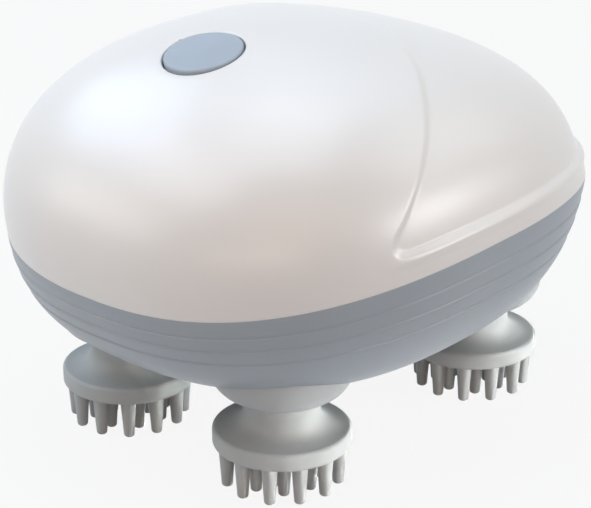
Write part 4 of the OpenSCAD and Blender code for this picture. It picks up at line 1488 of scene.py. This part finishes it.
@dataclass
class Studio:
    """Camera, floor, world and lamps.

    Attributes:
        azimuth: Azimuth of the camera about Z in degrees.
        elevation: Its elevation in degrees.
        distance: Its distance from the point it looks at, in mm.
        focal_px: Focal length in pixels of a picture of the given width.
        width_px: That width.
        aim: Point that the camera looks at, in mm.
        sky: Colour of the dome.
        warm: Colour of the dome beside the camera.
        warm_side: Azimuth from the camera and elevation of the middle of that side.
        warm_range: Cosines of the angle from there between which one turns to the other.
        fill: Strength of the dome.
        board: Colour of the floor.
        floor_lift: Share of white that the camera sees on the floor.
        floor_half: Half the side of the floor in metres.
    """

    azimuth: float = -48.1
    elevation: float = 22.05
    distance: float = 401.0
    focal_px: float = 2040.0
    width_px: float = 591.0
    aim: tuple[float, float, float] = (-4.05, -0.98, 32.1)
    sky: str = "#F3F7FC"
    warm: str = "#9A8B86"
    warm_side: Spot = (25.0, 22.0)
    warm_range: Spot = (0.35, 0.98)
    fill: float = 0.03
    board: str = "#C8C8C8"
    floor_lift: float = 0.9
    floor_half: float = 6.0

    def camera(self) -> None:
        """Places the camera."""
        a, e = math.radians(self.azimuth), math.radians(self.elevation)
        back = Vector((math.sin(a) * math.cos(e), -math.cos(a) * math.cos(e), math.sin(e)))
        data = bpy.data.cameras.new("camera")
        data.sensor_width = 36.0
        data.lens = self.focal_px * data.sensor_width / self.width_px
        data.clip_start, data.clip_end = 0.01, 20.0
        camera = bpy.data.objects.new("camera", data)
        bpy.context.scene.collection.objects.link(camera)
        camera.location = (Vector(self.aim) + back * self.distance) * MM
        camera.rotation_euler = (-back).to_track_quat("-Z", "Y").to_matrix().to_4x4().to_euler()
        bpy.context.scene.camera = camera

    def direction(self, azimuth: float, elevation: float) -> Vector:
        """Gives the direction at an angle to the right of the camera and above the floor.

        Args:
            azimuth: Angle in degrees, 0 towards the camera, 90 to its right, 180 behind the object.
            elevation: Angle in degrees above the floor.

        Returns:
            A unit vector.
        """
        a, e, turn = math.radians(self.azimuth), math.radians(elevation), math.radians(azimuth)
        toward, right = Vector((math.sin(a), -math.cos(a), 0)), Vector((math.cos(a), math.sin(a), 0))
        level = toward * math.cos(turn) + right * math.sin(turn)
        return level * math.cos(e) + Vector((0, 0, math.sin(e)))

    def floor(self) -> None:
        """Lays the pale floor that shows white and keeps the shadow."""
        mesh = bpy.data.meshes.new("studio_floor")
        size = self.floor_half
        mesh.from_pydata([(-size, -size, 0), (size, -size, 0), (size, size, 0), (-size, size, 0)], [],
                         [(0, 1, 2, 3)])
        floor = bpy.data.objects.new("studio_floor", mesh)
        bpy.context.scene.collection.objects.link(floor)
        material = bpy.data.materials.new("studio_floor_white")
        material.use_nodes = True
        tree = material.node_tree
        tree.nodes.clear()
        board = add_node(tree, "ShaderNodeBsdfDiffuse", {"Color": linear(self.board)})
        glow = add_node(tree, "ShaderNodeEmission", {"Color": (1, 1, 1, 1), "Strength": 1.0})
        share = add_node(tree, "ShaderNodeMath", {1: self.floor_lift}, {0: self.seen(tree)},
                         operation="MULTIPLY")
        lift = add_node(tree, "ShaderNodeMixShader", None,
                        {0: share.outputs["Value"], 1: board.outputs["BSDF"], 2: glow.outputs["Emission"]})
        add_node(tree, "ShaderNodeOutputMaterial", None, {"Surface": lift.outputs["Shader"]})
        mesh.materials.append(material)

    def seen(self, tree: bpy.types.NodeTree) -> bpy.types.NodeSocket:
        """Tells what the camera sees, straight, mirrored or through glass, from what other rays hit.

        Args:
            tree: Node tree that gets the nodes.

        Returns:
            A socket with 1 for such rays and 0 for the others.
        """
        path = add_node(tree, "ShaderNodeLightPath")
        answer = path.outputs["Is Camera Ray"]
        for kind in ("Is Glossy Ray", "Is Transmission Ray"):
            answer = add_node(tree, "ShaderNodeMath", None, {0: answer, 1: path.outputs[kind]},
                              operation="MAXIMUM").outputs["Value"]
        return answer

    def world(self) -> None:
        """Sets a soft dome that is cool above, warm and dim beside the camera, and seen as white."""
        world = bpy.data.worlds.new("studio_world")
        bpy.context.scene.world = world
        world.use_nodes = True
        tree = world.node_tree
        tree.nodes.clear()
        place = add_node(tree, "ShaderNodeTexCoord")
        side = add_node(tree, "ShaderNodeVectorMath", {1: self.direction(*self.warm_side)},
                        {0: place.outputs["Generated"]}, operation="DOT_PRODUCT")
        near = add_node(tree, "ShaderNodeMapRange",
                        {"From Min": self.warm_range[0], "From Max": self.warm_range[1]},
                        {"Value": side.outputs["Value"]}, interpolation_type="SMOOTHSTEP")
        tone = add_node(tree, "ShaderNodeMix", {6: linear(self.sky), 7: linear(self.warm)},
                        {0: near.outputs["Result"]}, data_type="RGBA")
        fill = add_node(tree, "ShaderNodeBackground", {"Strength": self.fill}, {"Color": tone.outputs[2]})
        white = add_node(tree, "ShaderNodeBackground", {"Color": (1, 1, 1, 1), "Strength": 1.0})
        mix = add_node(tree, "ShaderNodeMixShader", None,
                       {0: self.seen(tree), 1: fill.outputs["Background"], 2: white.outputs["Background"]})
        add_node(tree, "ShaderNodeOutputWorld", None, {"Surface": mix.outputs["Shader"]})

    def hang(self, lamp: Lamp) -> None:
        """Hangs one lamp.

        Args:
            lamp: Its place, size and light.
        """
        data = bpy.data.lights.new(lamp.name, "AREA")
        data.spread = math.radians(lamp.spread)
        data.shape, data.size, data.size_y = "RECTANGLE", *lamp.size
        data.energy, data.color = lamp.power, linear(lamp.colour)[:3]
        thing = bpy.data.objects.new(lamp.name, data)
        bpy.context.scene.collection.objects.link(thing)
        way = self.direction(*lamp.angles)
        thing.location = way * lamp.distance + Vector((0, 0, lamp.aim))
        thing.rotation_euler = (-way).to_track_quat("-Z", "Y").to_euler()

    def build(self) -> None:
        """Sets up camera, floor, world and lamps."""
        self.camera()
        self.floor()
        self.world()
        for lamp in LAMPS:
            self.hang(lamp)
        bpy.context.scene.view_settings.view_transform = "Standard"


# ---------------------------------------------------------------- assembly


class Carried(Enum):
    """CAD nodes that keep their own shape, by the start of their names, and their finish."""

    SEAL = ("seam_seal", SEAL_RUBBER)
    PLUNGER = ("switch_plunger", DARK_ABS)
    SWITCH = ("tact_switch", DARK_ABS)
    BOARD = ("circuit_board", SOLDER_MASK)
    BOARD_SCREWS = ("board_screws", ZINC_SCREWS)
    CELL = ("rechargeable_cell", SHRINK_FILM)
    CRADLE = ("cell_cradle", CRADLE_ABS)
    MOTOR_CAN = ("motor_can", PLATED_CAN)
    GEARHEAD = ("motor_gearhead", PLATED_CAN)
    MOTOR_SCREWS = ("motor_screws", ZINC_SCREWS)
    DRIVE_SHAFT = ("drive_shaft", GROUND_STEEL)
    CENTER_GEAR = ("center_gear", ACETAL)
    GEAR_FRAME = ("gear_frame", FRAME_ABS)
    GEAR_COVER = ("gear_cover", FRAME_ABS)
    COVER_SCREWS = ("cover_screws", ZINC_SCREWS)
    FRAME_SCREWS = ("frame_screws", ZINC_SCREWS)
    COVER_BUSHES = ("cover_bushes", SINTERED_BRONZE)
    HOUSING_SCREWS = ("housing_screws", ZINC_SCREWS)
    CONTACTS = ("charge_contacts", GOLD_CONTACT)
    CONTACT_BLOCK = ("contact_block", DARK_ABS)
    LIVE_WIRES = ("live_wires", LIVE_INSULATION)
    RETURN_WIRES = ("return_wires", RETURN_INSULATION)
    SHAFT_BUSH = ("shaft_bush", SINTERED_BRONZE)
    OUTPUT_SHAFT = ("output_shaft", GROUND_STEEL)
    HEAD_GEAR = ("head_gear", ACETAL)
    HEAD_HUB = ("head_hub", HUB_ABS)


class Massager:
    """The whole massager, sub-assembly by sub-assembly."""

    def __init__(self) -> None:
        """Prepares the materials."""
        self.materials: dict[str, bpy.types.Material] = {}

    def finish(self, finish: Finish) -> bpy.types.Material:
        """Gives the material of a finish, made once.

        Args:
            finish: The finish.

        Returns:
            Its material.
        """
        if finish.name not in self.materials:
            self.materials[finish.name] = finish.build()
        return self.materials[finish.name]

    def place(self, piece: bpy.types.Object, body: str, slot: str, *nodes: str) -> None:
        """Puts a piece in its place in the assembly.

        Args:
            piece: The piece.
            body: Body that it rides on.
            slot: Slot of its material, not used.
            *nodes: CAD nodes that it stands for.
        """
        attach(piece, body)
        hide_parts(*nodes)
        LOG.info("%s: %d faces, rides on %s", piece.name, len(piece.data.polygons), body)

    def build(self) -> None:
        """Builds and dresses every piece."""
        top, lower = TopShell(), LowerShell()
        self.place(top.build(self.finish(PEARL_LACQUER)), "root", "top_shell", "top_shell")
        self.place(lower.build(self.finish(SATIN_ABS)), "root", "lower_shell", "lower_shell")
        self.place(PowerButton().build(self.finish(BUTTON_ABS)), "button", "button", "power_button")
        self.place(ScrewPlugs().build(lower, self.finish(PLUG_RUBBER)), "root", "seal", "screw_plugs")
        for number, centre in enumerate(lower.heads, 1):
            boot = ShaftBoot().build(number, centre, self.finish(BOOT_SILICONE))
            self.place(boot, "root", "boot", f"shaft_boot_{number}")
            head = MassageHead().build(number, centre, self.finish(SILICONE))
            self.place(head, f"head_{number}", "silicone", f"massage_head_{number}")
        for name, node in frame["nodes"].items():
            for kept in Carried:
                start, finish = kept.value
                if name.startswith(start):
                    node.data.materials.clear()
                    node.data.materials.append(self.finish(finish))


def main() -> None:
    """Builds the massager and the studio."""
    logging.basicConfig(level=logging.INFO, format="%(name)s: %(message)s")
    Massager().build()
    Studio().build()


if __name__ == "__main__":
    main()
